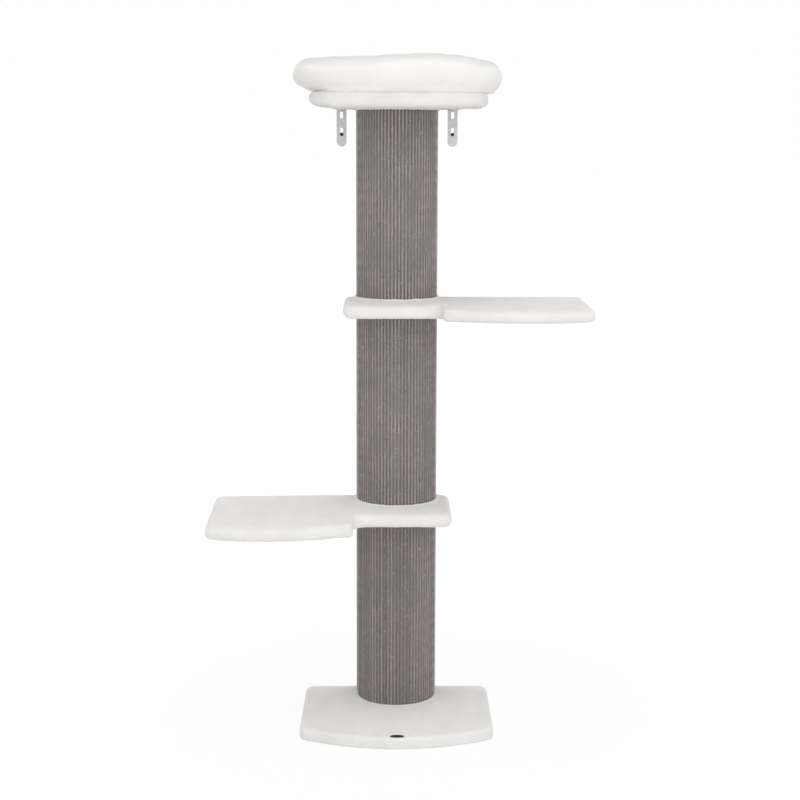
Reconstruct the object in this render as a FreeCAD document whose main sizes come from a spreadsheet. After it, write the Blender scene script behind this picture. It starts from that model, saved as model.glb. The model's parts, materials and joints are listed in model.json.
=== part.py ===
import FreeCAD, Part
import math
import os

import Sketcher

# A cat tree that stands on the floor and is screwed to the wall: a base, three D-shaped sisal posts in line,
# two plush-covered platforms whose wings reach out to opposite sides, and a padded bed on two wall brackets.
# Frame: X across the front, +Y towards the wall, +Z up. The floor is Z = 0, and X = 0 is the posts' centre.
# Depths are measured out from the wall plane, which the backs of all posts, boards and brackets share.

# ------------------------------------------------------------------ driving sizes, in millimetres
SIZES = {
    # boards and their plush
    "foot_pad_thickness": 3.0,
    "foot_pad_radius": 15.0,
    "foot_pad_inset": 32.0,
    "base_board_thickness": 18.0,
    "platform_board_thickness": 18.0,
    "bed_board_thickness": 18.0,
    "board_edge_radius": 4.0,
    "plush_thickness": 8.0,
    # base outline
    "base_half_width": 230.5,
    "base_side_depth": 309.0,
    "base_front_depth": 375.0,
    "base_front_corner_radius": 16.0,
    "base_back_corner_radius": 10.0,
    # posts
    "lower_post_length": 465.0,
    "middle_post_length": 461.0,
    "upper_post_length": 450.0,
    "post_shell_radius": 91.0,
    "post_arc_depth": 50.0,
    "post_wall": 4.0,
    "sisal_thickness": 3.9,
    "end_plate_thickness": 12.0,
    "back_panel_thickness": 9.0,
    "back_panel_half_width": 97.5,
    "back_cloth_thickness": 1.5,
    "glue_gap": 0.1,
    # platform outline
    "collar_half_width": 130.5,
    "collar_depth": 236.0,
    "collar_corner_radius": 18.0,
    "wing_inner_offset": 102.0,
    "wing_inner_depth": 334.0,
    "wing_middle_offset": 287.0,
    "wing_middle_depth": 376.0,
    "wing_outer_depth": 345.0,
    "wing_reach": 452.5,
    "wing_end_taper": 6.0,
    "wing_inside_radius": 30.0,
    "wing_corner_radius": 14.0,
    # bed
    "bed_half_width": 205.0,
    "bed_tray_depth": 350.0,
    "bed_tray_back_radius": 52.0,
    "bed_tray_corner_radius": 86.0,
    "bed_tray_front_radius": 520.0,
    "bed_depth": 380.0,
    "bolster_half_width": 240.5,
    "bolster_tube_radius": 44.5,
    "bolster_seat_sink": 4.0,
    "bolster_back_radius": 80.0,
    "bolster_corner_radius": 110.0,
    "bolster_front_radius": 420.0,
    "cushion_gap": 1.5,
    "cushion_floor_gap": 0.3,
    "cushion_thickness": 42.0,
    "cushion_side_draw": 4.0,
    # fasteners
    "bolt_radius": 3.95,
    "bolt_clearance": 0.6,
    "bolt_pair_width": 90.0,
    "bolt_depth": 76.0,
    "bolt_end_reach": 7.0,
    "bolt_head_height": 5.3,
    "bolt_head_radius": 7.5,
    "washer_radius": 10.0,
    "washer_thickness": 1.6,
    "base_counterbore_depth": 8.0,
    "counterbore_clearance": 1.5,
    "tee_nut_bore_gap": 0.05,
    "tee_nut_wall": 1.5,
    "tee_nut_barrel_length": 9.0,
    "tee_nut_flange_radius": 10.0,
    "tee_nut_flange_thickness": 1.5,
    # wall brackets and their screws
    "bracket_spread": 268.0,
    "bracket_width": 24.0,
    "bracket_thickness": 2.5,
    "bracket_bend_radius": 2.5,
    "bracket_drop": 88.0,
    "bracket_shelf_length": 62.0,
    "slot_width": 7.0,
    "slot_length": 18.0,
    "slot_spacing": 40.0,
    "slot_end_distance": 36.0,
    "bracket_screw_first_depth": 24.0,
    "bracket_screw_spacing": 24.0,
    "bracket_screw_radius": 2.0,
    "bracket_screw_grip": 12.0,
    "bracket_screw_point": 4.0,
    "screw_head_radius": 4.2,
    "screw_head_height": 2.8,
    "screw_clearance": 0.3,
    "wall_screw_radius": 2.25,
    "wall_screw_reach": 35.0,
    "wall_screw_point": 6.0,
    "wall_screw_neck_reach": 1.5,
    "screw_thread_height": 0.25,
    # blank name plate on the base
    "plate_half_width": 16.0,
    "plate_half_depth": 8.0,
    "plate_thickness": 1.2,
    "plate_edge_distance": 12.0,
}

DIAGONAL = math.sqrt(0.5)
SHEET_NAME = "sizes"
TOUCH = 1e-3

doc = FreeCAD.newDocument("wall_mounted_cat_tree")
sheet = doc.addObject("Spreadsheet::Sheet", SHEET_NAME)
for row, (alias, value) in enumerate(SIZES.items(), start=1):
    sheet.set(f"A{row}", alias.replace("_", " "))
    sheet.set(f"B{row}", str(value))
    sheet.setAlias(f"B{row}", alias)
doc.recompute()


# ------------------------------------------------------------------ sizes that carry their formula
class Size:
    """A length in millimetres with the sheet formula that gives it."""

    def __init__(self, number, formula=None):
        self.number = float(number)
        self.formula = formula or repr(float(number))

    def __add__(self, other):
        other = as_size(other)
        return Size(self.number + other.number, f"({self.formula} + {other.formula})")

    def __sub__(self, other):
        other = as_size(other)
        return Size(self.number - other.number, f"({self.formula} - {other.formula})")

    def __mul__(self, other):
        other = as_size(other)
        return Size(self.number * other.number, f"({self.formula} * {other.formula})")

    def __truediv__(self, other):
        other = as_size(other)
        return Size(self.number / other.number, f"({self.formula} / {other.formula})")

    def __neg__(self):
        return Size(-self.number, f"(0 - {self.formula})")

    __radd__ = __add__
    __rmul__ = __mul__


def as_size(value):
    return value if isinstance(value, Size) else Size(value)


def size(alias):
    return Size(sheet.get(alias), f"{SHEET_NAME}.{alias}")


def root(value):
    return Size(math.sqrt(value.number), f"sqrt({value.formula})")


def bind(item, prop, value):
    item.setExpression(prop, as_size(value).formula)


def place(item, x, y, z):
    bind(item, "Placement.Base.x", x)
    bind(item, "Placement.Base.y", y)
    bind(item, "Placement.Base.z", z)


wall_y = (size("bed_depth") - size("wall_screw_reach")) / 2


def out(depth):
    """The Y of a point that lies this far out from the wall plane."""
    return wall_y - depth


# ------------------------------------------------------------------ levels, from the floor up
plush = size("plush_thickness")
platform_height = size("platform_board_thickness") + plush * 2
base_board_bottom = size("foot_pad_thickness")
base_top = base_board_bottom + size("base_board_thickness") + plush
lower_platform_bottom = base_top + size("lower_post_length")
lower_platform_top = lower_platform_bottom + platform_height
upper_platform_bottom = lower_platform_top + size("middle_post_length")
upper_platform_top = upper_platform_bottom + platform_height
bed_bottom = upper_platform_top + size("upper_post_length")
bed_top = bed_bottom + size("bed_board_thickness") + plush * 2


# ------------------------------------------------------------------ building blocks
def box(name, x_span, y_span, z_span):
    """A block between two X, two Y and two Z values."""
    item = doc.addObject("Part::Box", name)
    bind(item, "Length", x_span[1] - as_size(x_span[0]))
    bind(item, "Width", y_span[1] - as_size(y_span[0]))
    bind(item, "Height", z_span[1] - as_size(z_span[0]))
    place(item, x_span[0], y_span[0], z_span[0])
    return item


def rod(name, radius, x, y, z_span):
    """An upright cylinder."""
    item = doc.addObject("Part::Cylinder", name)
    bind(item, "Radius", radius)
    bind(item, "Height", z_span[1] - as_size(z_span[0]))
    place(item, x, y, z_span[0])
    return item


def hexagon(name, radius, x, y, z_span):
    """An upright hexagonal prism, sized by its corners."""
    item = doc.addObject("Part::Prism", name)
    item.Polygon = 6
    bind(item, "Circumradius", radius)
    bind(item, "Height", z_span[1] - as_size(z_span[0]))
    place(item, x, y, z_span[0])
    return item


def fuse(name, items):
    joined = doc.addObject("Part::MultiFuse", name)
    joined.Shapes = items
    return joined


def cut(name, base, tools):
    tool = tools[0] if len(tools) == 1 else fuse(f"{name}_tools", tools)
    item = doc.addObject("Part::Cut", name)
    item.Base = base
    item.Tool = tool
    return item


def group(name, items):
    """Identical separate solids under one name."""
    item = doc.addObject("Part::Compound", name)
    item.Links = items
    return item


def origin_plane(body, role):
    return next(item for item in body.Origin.OriginFeatures if item.Role == role)


def pin_point(sketch, geometry, position, point):
    """Hold one point of the sketch at its place from the sheet."""
    for kind, value in zip(("DistanceX", "DistanceY"), point):
        value = as_size(value)
        index = sketch.addConstraint(Sketcher.Constraint(kind, geometry, position, value.number))
        sketch.setExpression(f"Constraints[{index}]", value.formula)


def vector(point):
    return FreeCAD.Vector(as_size(point[0]).number, as_size(point[1]).number, 0)


def draw_outline(sketch, corners, arcs):
    """A closed outline; arcs maps a side's first corner to a point that its curve passes through."""
    count = len(corners)
    for side, corner in enumerate(corners):
        start = vector(corner)
        end = vector(corners[(side + 1) % count])
        if side in arcs:
            sketch.addGeometry(Part.Arc(start, vector(arcs[side]), end))
        else:
            sketch.addGeometry(Part.LineSegment(start, end))
    for side, corner in enumerate(corners):
        ahead = (side + 1) % count
        start_end = arc_ends(sketch, side, vector(corner))
        next_start = arc_ends(sketch, ahead, vector(corners[ahead]))[0]
        sketch.addConstraint(Sketcher.Constraint("Coincident", side, start_end[1], ahead, next_start))
        pin_point(sketch, side, start_end[0], corner)
    for side, through in arcs.items():
        point = sketch.addGeometry(Part.Point(vector(through)), True)
        pin_point(sketch, point, 1, through)
        sketch.addConstraint(Sketcher.Constraint("PointOnObject", point, 1, side))


def arc_ends(sketch, side, start):
    """Which end of a side lies at its first corner, since an arc is always kept counter-clockwise."""
    first_end, last_end = 1, 2
    if sketch.getPoint(side, first_end).distanceToPoint(start) < TOUCH:
        return first_end, last_end
    return last_end, first_end


def new_sketch(body, name, role, lift=None):
    sketch = body.newObject("Sketcher::SketchObject", name)
    sketch.AttachmentSupport = [(origin_plane(body, role), "")]
    sketch.MapMode = "FlatFace"
    if lift is not None:
        bind(sketch, "AttachmentOffset.Base.z", lift)
    return sketch


def slab(name, corners, arcs, z_span):
    """A flat piece of the given outline between two levels, as a body and its pad."""
    body = doc.addObject("PartDesign::Body", name)
    sketch = new_sketch(body, f"{name}_outline", "XY_Plane")
    draw_outline(sketch, corners, arcs)
    pad = body.newObject("PartDesign::Pad", f"{name}_pad")
    pad.Profile = sketch
    bind(pad, "Length", z_span[1] - as_size(z_span[0]))
    bind(body, "Placement.Base.z", z_span[0])
    doc.recompute()
    return body


def upright_edges_at(shape, points):
    """Names of the upright edges that stand on any of the given plan points."""
    places = [vector(point) for point in points]
    names = []
    for index, edge in enumerate(shape.Edges, start=1):
        ends = [vertex.Point for vertex in edge.Vertexes]
        if len(ends) < 2 or abs(ends[0].z - ends[1].z) < TOUCH:
            continue
        foot = FreeCAD.Vector(ends[0].x, ends[0].y, 0)
        if any(foot.distanceToPoint(spot) < TOUCH for spot in places):
            names.append(f"Edge{index}")
    return names


def round_corners(body, name, points, radius):
    base = body.Tip
    fillet = body.newObject("PartDesign::Fillet", f"{body.Name}_{name}")
    fillet.Base = (base, upright_edges_at(base.Shape, points))
    bind(fillet, "Radius", radius)
    doc.recompute()


def ease_rims(body, radius):
    """Round the top and bottom rims of a slab."""
    base = body.Tip
    names = []
    for index, edge in enumerate(base.Shape.Edges, start=1):
        heights = [vertex.Point.z for vertex in edge.Vertexes]
        if max(heights) - min(heights) < TOUCH:
            names.append(f"Edge{index}")
    fillet = body.newObject("PartDesign::Fillet", f"{body.Name}_rims")
    fillet.Base = (base, names)
    bind(fillet, "Radius", radius)
    doc.recompute()


def wrap(name, blank, thickness):
    """The outside of a soft cover of even thickness drawn round a board."""
    skin = doc.addObject("Part::Offset", name)
    skin.Source = blank
    skin.Join = 0
    skin.Fill = False
    bind(skin, "Value", thickness)
    return skin


def oval(half_width, back, front, back_radius, corner_radius, front_radius, draw=None):
    """A bed outline: straight back and sides, round corners and a bowed front, all tangent.

    back and front are depths from the wall. With draw, the back and sides are drawn in by that much.
    """
    corner_x = half_width - corner_radius
    front_centre = front - front_radius
    reach = front_radius - corner_radius
    rise = root(reach * reach - corner_x * corner_x)
    corner_depth = front_centre + rise
    tangent_x = corner_x + corner_radius * corner_x / reach
    tangent_depth = corner_depth + corner_radius * rise / reach
    lean = root((corner_x / reach + 1) * (corner_x / reach + 1) + (rise / reach) * (rise / reach))
    corner_mid_x = corner_x + corner_radius * (corner_x / reach + 1) / lean
    corner_mid_depth = corner_depth + corner_radius * (rise / reach) / lean
    back_x = half_width - back_radius
    back_depth = back + back_radius
    back_mid_x = back_x + back_radius * DIAGONAL
    back_mid_depth = back_depth - back_radius * DIAGONAL
    corners = [
        (Size(0), out(back)),
        (back_x, out(back)),
        (half_width, out(back_depth)),
        (half_width, out(corner_depth)),
        (tangent_x, out(tangent_depth)),
        (-tangent_x, out(tangent_depth)),
        (-half_width, out(corner_depth)),
        (-half_width, out(back_depth)),
        (-back_x, out(back)),
    ]
    arcs = {
        1: (back_mid_x, out(back_mid_depth)),
        3: (corner_mid_x, out(corner_mid_depth)),
        4: (Size(0), out(front)),
        5: (-corner_mid_x, out(corner_mid_depth)),
        7: (-back_mid_x, out(back_mid_depth)),
    }
    if draw is not None:
        side_depth = (back_depth + corner_depth) / 2
        corners = corners[1:]
        arcs = {side - 1: point for side, point in arcs.items()}
        arcs[1] = (half_width - draw, out(side_depth))
        arcs[5] = (draw - half_width, out(side_depth))
        arcs[7] = (Size(0), out(back + draw))
    return corners, arcs


# ------------------------------------------------------------------ bolts, washers and tee nuts
bolt_x = size("bolt_pair_width") / 2
bolt_y = out(size("bolt_depth"))
bolt_radius = size("bolt_radius")
bolt_hole_radius = bolt_radius + size("bolt_clearance")
head_pocket_radius = size("washer_radius") + size("counterbore_clearance")


def bolt_holes(name, radius, z_span):
    """Two upright holes side by side, for the pair of bolts at an end of the column."""
    sides = (("left", -bolt_x), ("right", bolt_x))
    return [rod(f"{name}_{side}", radius, x, bolt_y, z_span) for side, x in sides]


def everything_between(name, low, high):
    """A block that covers the whole plan between two levels, to cut a piece flat with."""
    far = size("wing_reach") + size("bed_depth")
    return box(name, (-far, far), (out(far), out(-far)), (low, high))


def washer(name, x, bottom):
    disc_span = (bottom, bottom + size("washer_thickness"))
    disc = rod(f"{name}_disc", size("washer_radius"), x, bolt_y, disc_span)
    hole = rod(f"{name}_hole", bolt_hole_radius, x, bolt_y, disc_span)
    return cut(name, disc, [hole])


def bolt(name, x, head_span, shank_span):
    head = hexagon(f"{name}_head", size("bolt_head_radius"), x, bolt_y, head_span)
    shank = rod(f"{name}_shank", bolt_radius, x, bolt_y, shank_span)
    return fuse(name, [head, shank])


def tee_nut(name, x, plate_span, flange_on_top):
    """A flanged threaded bush: its flange lies inside the hollow post, its barrel in the end plate."""
    flange = size("tee_nut_flange_thickness")
    barrel = size("tee_nut_barrel_length")
    if flange_on_top:
        flange_span = (plate_span[1], plate_span[1] + flange)
        barrel_span = (plate_span[1] - barrel, plate_span[1])
    else:
        flange_span = (plate_span[0] - flange, plate_span[0])
        barrel_span = (plate_span[0], plate_span[0] + barrel)
    bore_radius = bolt_radius + size("tee_nut_bore_gap")
    outside = fuse(
        f"{name}_outside",
        [
            rod(f"{name}_flange", size("tee_nut_flange_radius"), x, bolt_y, flange_span),
            rod(f"{name}_barrel", bore_radius + size("tee_nut_wall"), x, bolt_y, barrel_span),
        ],
    )
    low = flange_span[0] if flange_span[0].number < barrel_span[0].number else barrel_span[0]
    high = flange_span[1] if flange_span[1].number > barrel_span[1].number else barrel_span[1]
    return cut(name, outside, [rod(f"{name}_bore", bore_radius, x, bolt_y, (low, high))])


# ------------------------------------------------------------------ posts
panel_front = size("back_cloth_thickness") + size("back_panel_thickness")
tee_hole_radius = bolt_radius + size("tee_nut_bore_gap") * 2 + size("tee_nut_wall")


def u_outline(inner, outer):
    """A wall bent round the front of a post: straight sides from the back panel, then a half circle."""
    arc_centre = size("post_arc_depth")
    corners = [
        (-outer, out(panel_front)),
        (-outer, out(arc_centre)),
        (outer, out(arc_centre)),
        (outer, out(panel_front)),
        (inner, out(panel_front)),
        (inner, out(arc_centre)),
        (-inner, out(arc_centre)),
        (-inner, out(panel_front)),
    ]
    arcs = {1: (Size(0), out(arc_centre + outer)), 5: (Size(0), out(arc_centre + inner))}
    return corners, arcs


def end_plate(name, z_span, nut_places):
    """A board that closes one end of a post, drilled for its tee nuts."""
    half = size("post_shell_radius") - size("post_wall") - size("glue_gap")
    arc_centre = size("post_arc_depth")
    corners = [
        (-half, out(panel_front)),
        (-half, out(arc_centre)),
        (half, out(arc_centre)),
        (half, out(panel_front)),
    ]
    plate = slab(f"{name}_blank", corners, {1: (Size(0), out(arc_centre + half))}, z_span)
    holes = [
        rod(f"{name}_hole_{index}", tee_hole_radius, x, bolt_y, z_span)
        for index, x in enumerate(nut_places)
    ]
    return cut(name, plate, holes)


def back_cloth(name, z_span):
    """The cloth that is folded round the back panel, with a lip on its front beside the sisal."""
    cloth = size("back_cloth_thickness")
    half = size("back_panel_half_width")
    wide = half + cloth
    lip = size("post_shell_radius") + size("glue_gap") * 2 + size("sisal_thickness")
    front = panel_front
    corners = [
        (-wide, out(0)),
        (wide, out(0)),
        (wide, out(front + cloth)),
        (lip, out(front + cloth)),
        (lip, out(front)),
        (half, out(front)),
        (half, out(cloth)),
        (-half, out(cloth)),
        (-half, out(front)),
        (-lip, out(front)),
        (-lip, out(front + cloth)),
        (-wide, out(front + cloth)),
    ]
    return slab(name, corners, {}, z_span)


def post(name, bottom, length, bottom_nuts, top_nuts):
    """One section of the column, closed by a board at each end."""
    top = bottom + length
    whole = (bottom, top)
    plate = size("end_plate_thickness")
    bottom_span = (bottom, bottom + plate)
    top_span = (top - plate, top)
    shell_outer = size("post_shell_radius")
    sisal_inner = shell_outer + size("glue_gap")
    half = size("back_panel_half_width")
    nuts = []
    for index, x in enumerate(bottom_nuts):
        nuts.append(tee_nut(f"{name}_bottom_nut_{index}", x, bottom_span, True))
    for index, x in enumerate(top_nuts):
        nuts.append(tee_nut(f"{name}_top_nut_{index}", x, top_span, False))
    shell_outline = u_outline(shell_outer - size("post_wall"), shell_outer)
    sisal_outline = u_outline(sisal_inner, sisal_inner + size("sisal_thickness"))
    panel_depths = (out(panel_front), out(size("back_cloth_thickness")))
    return {
        f"{name}_shell": slab(f"{name}_shell", *shell_outline, whole),
        f"{name}_bottom_plate": end_plate(f"{name}_bottom_plate", bottom_span, bottom_nuts),
        f"{name}_top_plate": end_plate(f"{name}_top_plate", top_span, top_nuts),
        f"{name}_back_panel": box(f"{name}_back_panel", (-half, half), panel_depths, whole),
        f"{name}_back_cover": back_cloth(f"{name}_back_cover", whole),
        f"{name}_sisal": slab(f"{name}_sisal", *sisal_outline, whole),
        f"{name}_tee_nuts": group(f"{name}_tee_nuts", nuts),
    }


# ------------------------------------------------------------------ base
def base_parts():
    board_top = base_board_bottom + size("base_board_thickness")
    half = size("base_half_width") - plush
    side = size("base_side_depth") - plush
    front = size("base_front_depth") - plush
    corners = [
        (-half, out(plush)),
        (-half, out(side)),
        (half, out(side)),
        (half, out(plush)),
    ]
    blank = slab("base_blank", corners, {1: (Size(0), out(front))}, (base_board_bottom, board_top))
    round_corners(blank, "front_corners", corners[1:3], size("base_front_corner_radius"))
    round_corners(blank, "back_corners", [corners[0], corners[3]], size("base_back_corner_radius"))
    skin = wrap("base_skin", blank, plush)

    below = everything_between("base_underside", base_board_bottom - plush * 2, base_board_bottom)
    counterbore_top = base_board_bottom + size("base_counterbore_depth")
    board_holes = bolt_holes("base_hole", bolt_hole_radius, (base_board_bottom, board_top))
    board_holes += bolt_holes("base_counterbore", head_pocket_radius, (base_board_bottom, counterbore_top))
    cover_holes = bolt_holes("base_cover_hole", bolt_hole_radius, (board_top, base_top))

    washers = []
    bolts = []
    washer_bottom = counterbore_top - size("washer_thickness")
    shank_top = base_top + size("end_plate_thickness") + size("bolt_end_reach")
    for side_name, x in (("left", -bolt_x), ("right", bolt_x)):
        washers.append(washer(f"base_{side_name}_washer", x, washer_bottom))
        head_span = (washer_bottom - size("bolt_head_height"), washer_bottom)
        bolts.append(bolt(f"base_{side_name}_bolt", x, head_span, (washer_bottom, shank_top)))

    plate, seat = name_plate()
    return {
        "base_board": cut("base_board", blank, board_holes),
        "base_cover": cut("base_cover", skin, [blank, below, seat] + cover_holes),
        "base_foot_pads": foot_pads(),
        "base_bolts": group("base_bolts", bolts),
        "base_washers": group("base_washers", washers),
        "name_plate": plate,
    }


def foot_pads():
    """Felt pads under the corners and under the middle of the bowed front."""
    inset = size("foot_pad_inset")
    x = size("base_half_width") - inset
    spots = [
        (-x, inset),
        (x, inset),
        (-x, size("base_side_depth") - inset),
        (x, size("base_side_depth") - inset),
        (Size(0), size("base_front_depth") - inset),
    ]
    radius = size("foot_pad_radius")
    pads = [
        rod(f"foot_pad_{index}", radius, x, out(depth), (Size(0), base_board_bottom))
        for index, (x, depth) in enumerate(spots)
    ]
    return group("base_foot_pads", pads)


def name_plate():
    """A blank oval plate let into the plush near the front edge, and the seat that it takes."""
    y = out(size("base_front_depth") - size("plate_edge_distance"))
    pieces = []
    for name, height in (("name_plate", size("plate_thickness")), ("name_plate_seat", plush)):
        body = doc.addObject("PartDesign::Body", name)
        sketch = new_sketch(body, f"{name}_outline", "XY_Plane")
        centre = FreeCAD.Vector(0, 0, 0)
        long_end = FreeCAD.Vector(size("plate_half_width").number, 0, 0)
        short_end = FreeCAD.Vector(0, size("plate_half_depth").number, 0)
        ellipse = sketch.addGeometry(Part.Ellipse(long_end, short_end, centre))
        sketch.exposeInternalGeometry(ellipse)
        sketch.addConstraint(Sketcher.Constraint("Coincident", ellipse, 3, -1, 1))
        pin_point(sketch, ellipse + 1, 1, (size("plate_half_width"), Size(0)))
        depth = size("plate_half_depth") * 2
        short_axis = sketch.addConstraint(Sketcher.Constraint("Distance", ellipse + 2, depth.number))
        sketch.setExpression(f"Constraints[{short_axis}]", depth.formula)
        pad = body.newObject("PartDesign::Pad", f"{name}_pad")
        pad.Profile = sketch
        bind(pad, "Length", height)
        place(body, Size(0), y, base_top - size("plate_thickness"))
        pieces.append(body)
    doc.recompute()
    return pieces


# ------------------------------------------------------------------ platforms
def platform_corners(way):
    """The board's outline: a collar round the post and a wing with a bowed front; way is +1 or -1."""
    collar = size("collar_half_width") - plush
    inner = size("wing_inner_offset") + plush
    outer_front = size("wing_reach") - size("wing_end_taper") - plush
    outer_back = size("wing_reach") - plush
    plan = [
        (-collar, plush),
        (-collar, size("collar_depth") - plush),
        (inner, size("collar_depth") - plush),
        (inner, size("wing_inner_depth") - plush),
        (outer_front, size("wing_outer_depth") - plush),
        (outer_back, plush),
    ]
    corners = [(x * way, out(depth)) for x, depth in plan]
    arcs = {3: (size("wing_middle_offset") * way, out(size("wing_middle_depth") - plush))}
    return corners, arcs


def platform_parts(name, way, bottom):
    """A board wrapped in plush, threaded on the stud that joins the posts below and above it."""
    board_span = (bottom + plush, bottom + plush + size("platform_board_thickness"))
    whole = (bottom, bottom + platform_height)
    corners, arcs = platform_corners(way)
    blank = slab(f"{name}_blank", corners, arcs, board_span)
    round_corners(blank, "inside_corner", [corners[2]], size("wing_inside_radius"))
    round_corners(blank, "collar_corners", corners[:2], size("collar_corner_radius"))
    round_corners(blank, "wing_corners", corners[3:], size("wing_corner_radius"))
    ease_rims(blank, size("board_edge_radius"))
    skin = wrap(f"{name}_skin", blank, plush)
    reach = size("end_plate_thickness") + size("bolt_end_reach")
    board_hole = rod(f"{name}_board_hole", bolt_hole_radius, Size(0), bolt_y, board_span)
    cover_hole = rod(f"{name}_cover_hole", bolt_hole_radius, Size(0), bolt_y, whole)
    stud_span = (bottom - reach, whole[1] + reach)
    joint = name.replace("platform", "joint")
    return {
        f"{name}_board": cut(f"{name}_board", blank, [board_hole]),
        f"{name}_cover": cut(f"{name}_cover", skin, [blank, cover_hole]),
        f"{joint}_stud": rod(f"{joint}_stud", bolt_radius, Size(0), bolt_y, stud_span),
    }


# ------------------------------------------------------------------ bed
def bed_parts():
    board_span = (bed_bottom + plush, bed_bottom + plush + size("bed_board_thickness"))
    outline = oval(
        size("bed_half_width") - plush,
        plush,
        size("bed_tray_depth") - plush,
        size("bed_tray_back_radius"),
        size("bed_tray_corner_radius"),
        size("bed_tray_front_radius"),
    )
    blank = slab("bed_blank", *outline, board_span)
    ease_rims(blank, size("board_edge_radius"))
    skin = wrap("bed_skin", blank, plush)

    washers = []
    bolts = []
    washer_top = board_span[1] + size("washer_thickness")
    shank_bottom = bed_bottom - size("end_plate_thickness") - size("bolt_end_reach")
    for side_name, x in (("left", -bolt_x), ("right", bolt_x)):
        washers.append(washer(f"bed_{side_name}_washer", x, board_span[1]))
        head_span = (washer_top, washer_top + size("bolt_head_height"))
        bolts.append(bolt(f"bed_{side_name}_bolt", x, head_span, (shank_bottom, washer_top)))

    bracket_holes = []
    for index, (x, y) in enumerate(bracket_screw_places()):
        hole_radius = size("bracket_screw_radius") + size("glue_gap")
        hole_span = (bed_bottom, board_span[0] + size("bracket_screw_grip"))
        bracket_holes.append(rod(f"bed_screw_hole_{index}", hole_radius, x, y, hole_span))
    cover_holes = bolt_holes("bed_cover_hole", bolt_hole_radius, (bed_bottom, board_span[0]))
    cover_holes += bolt_holes("bed_cover_pocket", head_pocket_radius, (board_span[1], bed_top))
    board_holes = bolt_holes("bed_board_hole", bolt_hole_radius, board_span)
    return {
        "bed_board": cut("bed_board", blank, board_holes + bracket_holes),
        "bed_cover": cut("bed_cover", skin, [blank] + cover_holes + bracket_holes),
        "bed_bolts": group("bed_bolts", bolts),
        "bed_washers": group("bed_washers", washers),
        "bed_bolster": bolster(),
        "bed_cushion": cushion(),
    }


def bolster():
    """A stuffed tube round the rim of the bed, flattened where it is sewn to the tray."""
    tube = size("bolster_tube_radius")
    body = doc.addObject("PartDesign::Body", "bolster_ring")
    route = new_sketch(body, "bolster_route", "XY_Plane")
    corners, arcs = oval(
        size("bolster_half_width") - tube,
        tube,
        size("bed_depth") - tube,
        size("bolster_back_radius"),
        size("bolster_corner_radius"),
        size("bolster_front_radius"),
    )
    draw_outline(route, corners, arcs)
    section = new_sketch(body, "bolster_section", "YZ_Plane")
    back_centre = FreeCAD.Vector(out(tube).number, 0, 0)
    circle = section.addGeometry(Part.Circle(back_centre, FreeCAD.Vector(0, 0, 1), tube.number))
    pin_point(section, circle, 3, (out(tube), Size(0)))
    radius = section.addConstraint(Sketcher.Constraint("Radius", circle, tube.number))
    section.setExpression(f"Constraints[{radius}]", tube.formula)
    ring = body.newObject("PartDesign::AdditivePipe", "bolster_tube")
    ring.Profile = section
    ring.Spine = route
    centre = bed_top + tube - size("bolster_seat_sink")
    bind(body, "Placement.Base.z", centre)
    doc.recompute()
    below = everything_between("bolster_underside", bed_top - tube, bed_top)
    return cut("bed_bolster", body, [below])


# The cushion's side seen from the front: the height of each level, and how far its outline is pulled in
# from the fullest one, both as shares of the thickness.
CUSHION_PROFILE = (
    (0.0, 0.2),
    (0.13, 0.05),
    (0.33, 0.0),
    (0.55, 0.09),
    (0.74, 0.3),
    (0.88, 0.66),
    (0.96, 1.04),
    (1.0, 1.42),
)


def cushion():
    """A loose cushion inside the bolster: flat below, fullest at its seam, crowned above, sides drawn in."""
    gap = size("cushion_gap")
    tube = size("bolster_tube_radius")
    half_width = size("bolster_half_width") - tube * 2 - gap
    back = tube * 2 + gap
    front = size("bed_depth") - tube * 2 - gap
    back_radius = size("bolster_back_radius") - tube
    corner_radius = size("bolster_corner_radius") - tube
    front_radius = size("bolster_front_radius") - tube - gap
    thickness = size("cushion_thickness")
    body = doc.addObject("PartDesign::Body", "bed_cushion")
    sections = []
    for index, (share, pull_share) in enumerate(CUSHION_PROFILE):
        sketch = new_sketch(body, f"cushion_level_{index}", "XY_Plane", thickness * share)
        pull = thickness * pull_share
        shrink = Size(1) - pull / half_width
        outline = oval(
            half_width - pull,
            back + pull,
            front - pull,
            back_radius * shrink,
            corner_radius * shrink,
            front_radius - pull,
            draw=size("cushion_side_draw") * shrink,
        )
        draw_outline(sketch, *outline)
        sections.append(sketch)
    loft = body.newObject("PartDesign::AdditiveLoft", "cushion_filling")
    loft.Profile = sections[0]
    loft.Sections = sections[1:]
    bind(body, "Placement.Base.z", bed_top + size("cushion_floor_gap"))
    doc.recompute()
    return body


# ------------------------------------------------------------------ wall brackets
bracket_x = size("bracket_spread") / 2


def bracket_screw_places():
    """The four screws that hold the bracket shelves under the bed board."""
    first = size("bracket_screw_first_depth")
    depths = (first, first + size("bracket_screw_spacing"))
    return [(x, out(depth)) for x in (-bracket_x, bracket_x) for depth in depths]


def slot_heights():
    lower = bed_bottom - size("bracket_drop") + size("slot_end_distance")
    return lower, lower + size("slot_spacing")


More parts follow.
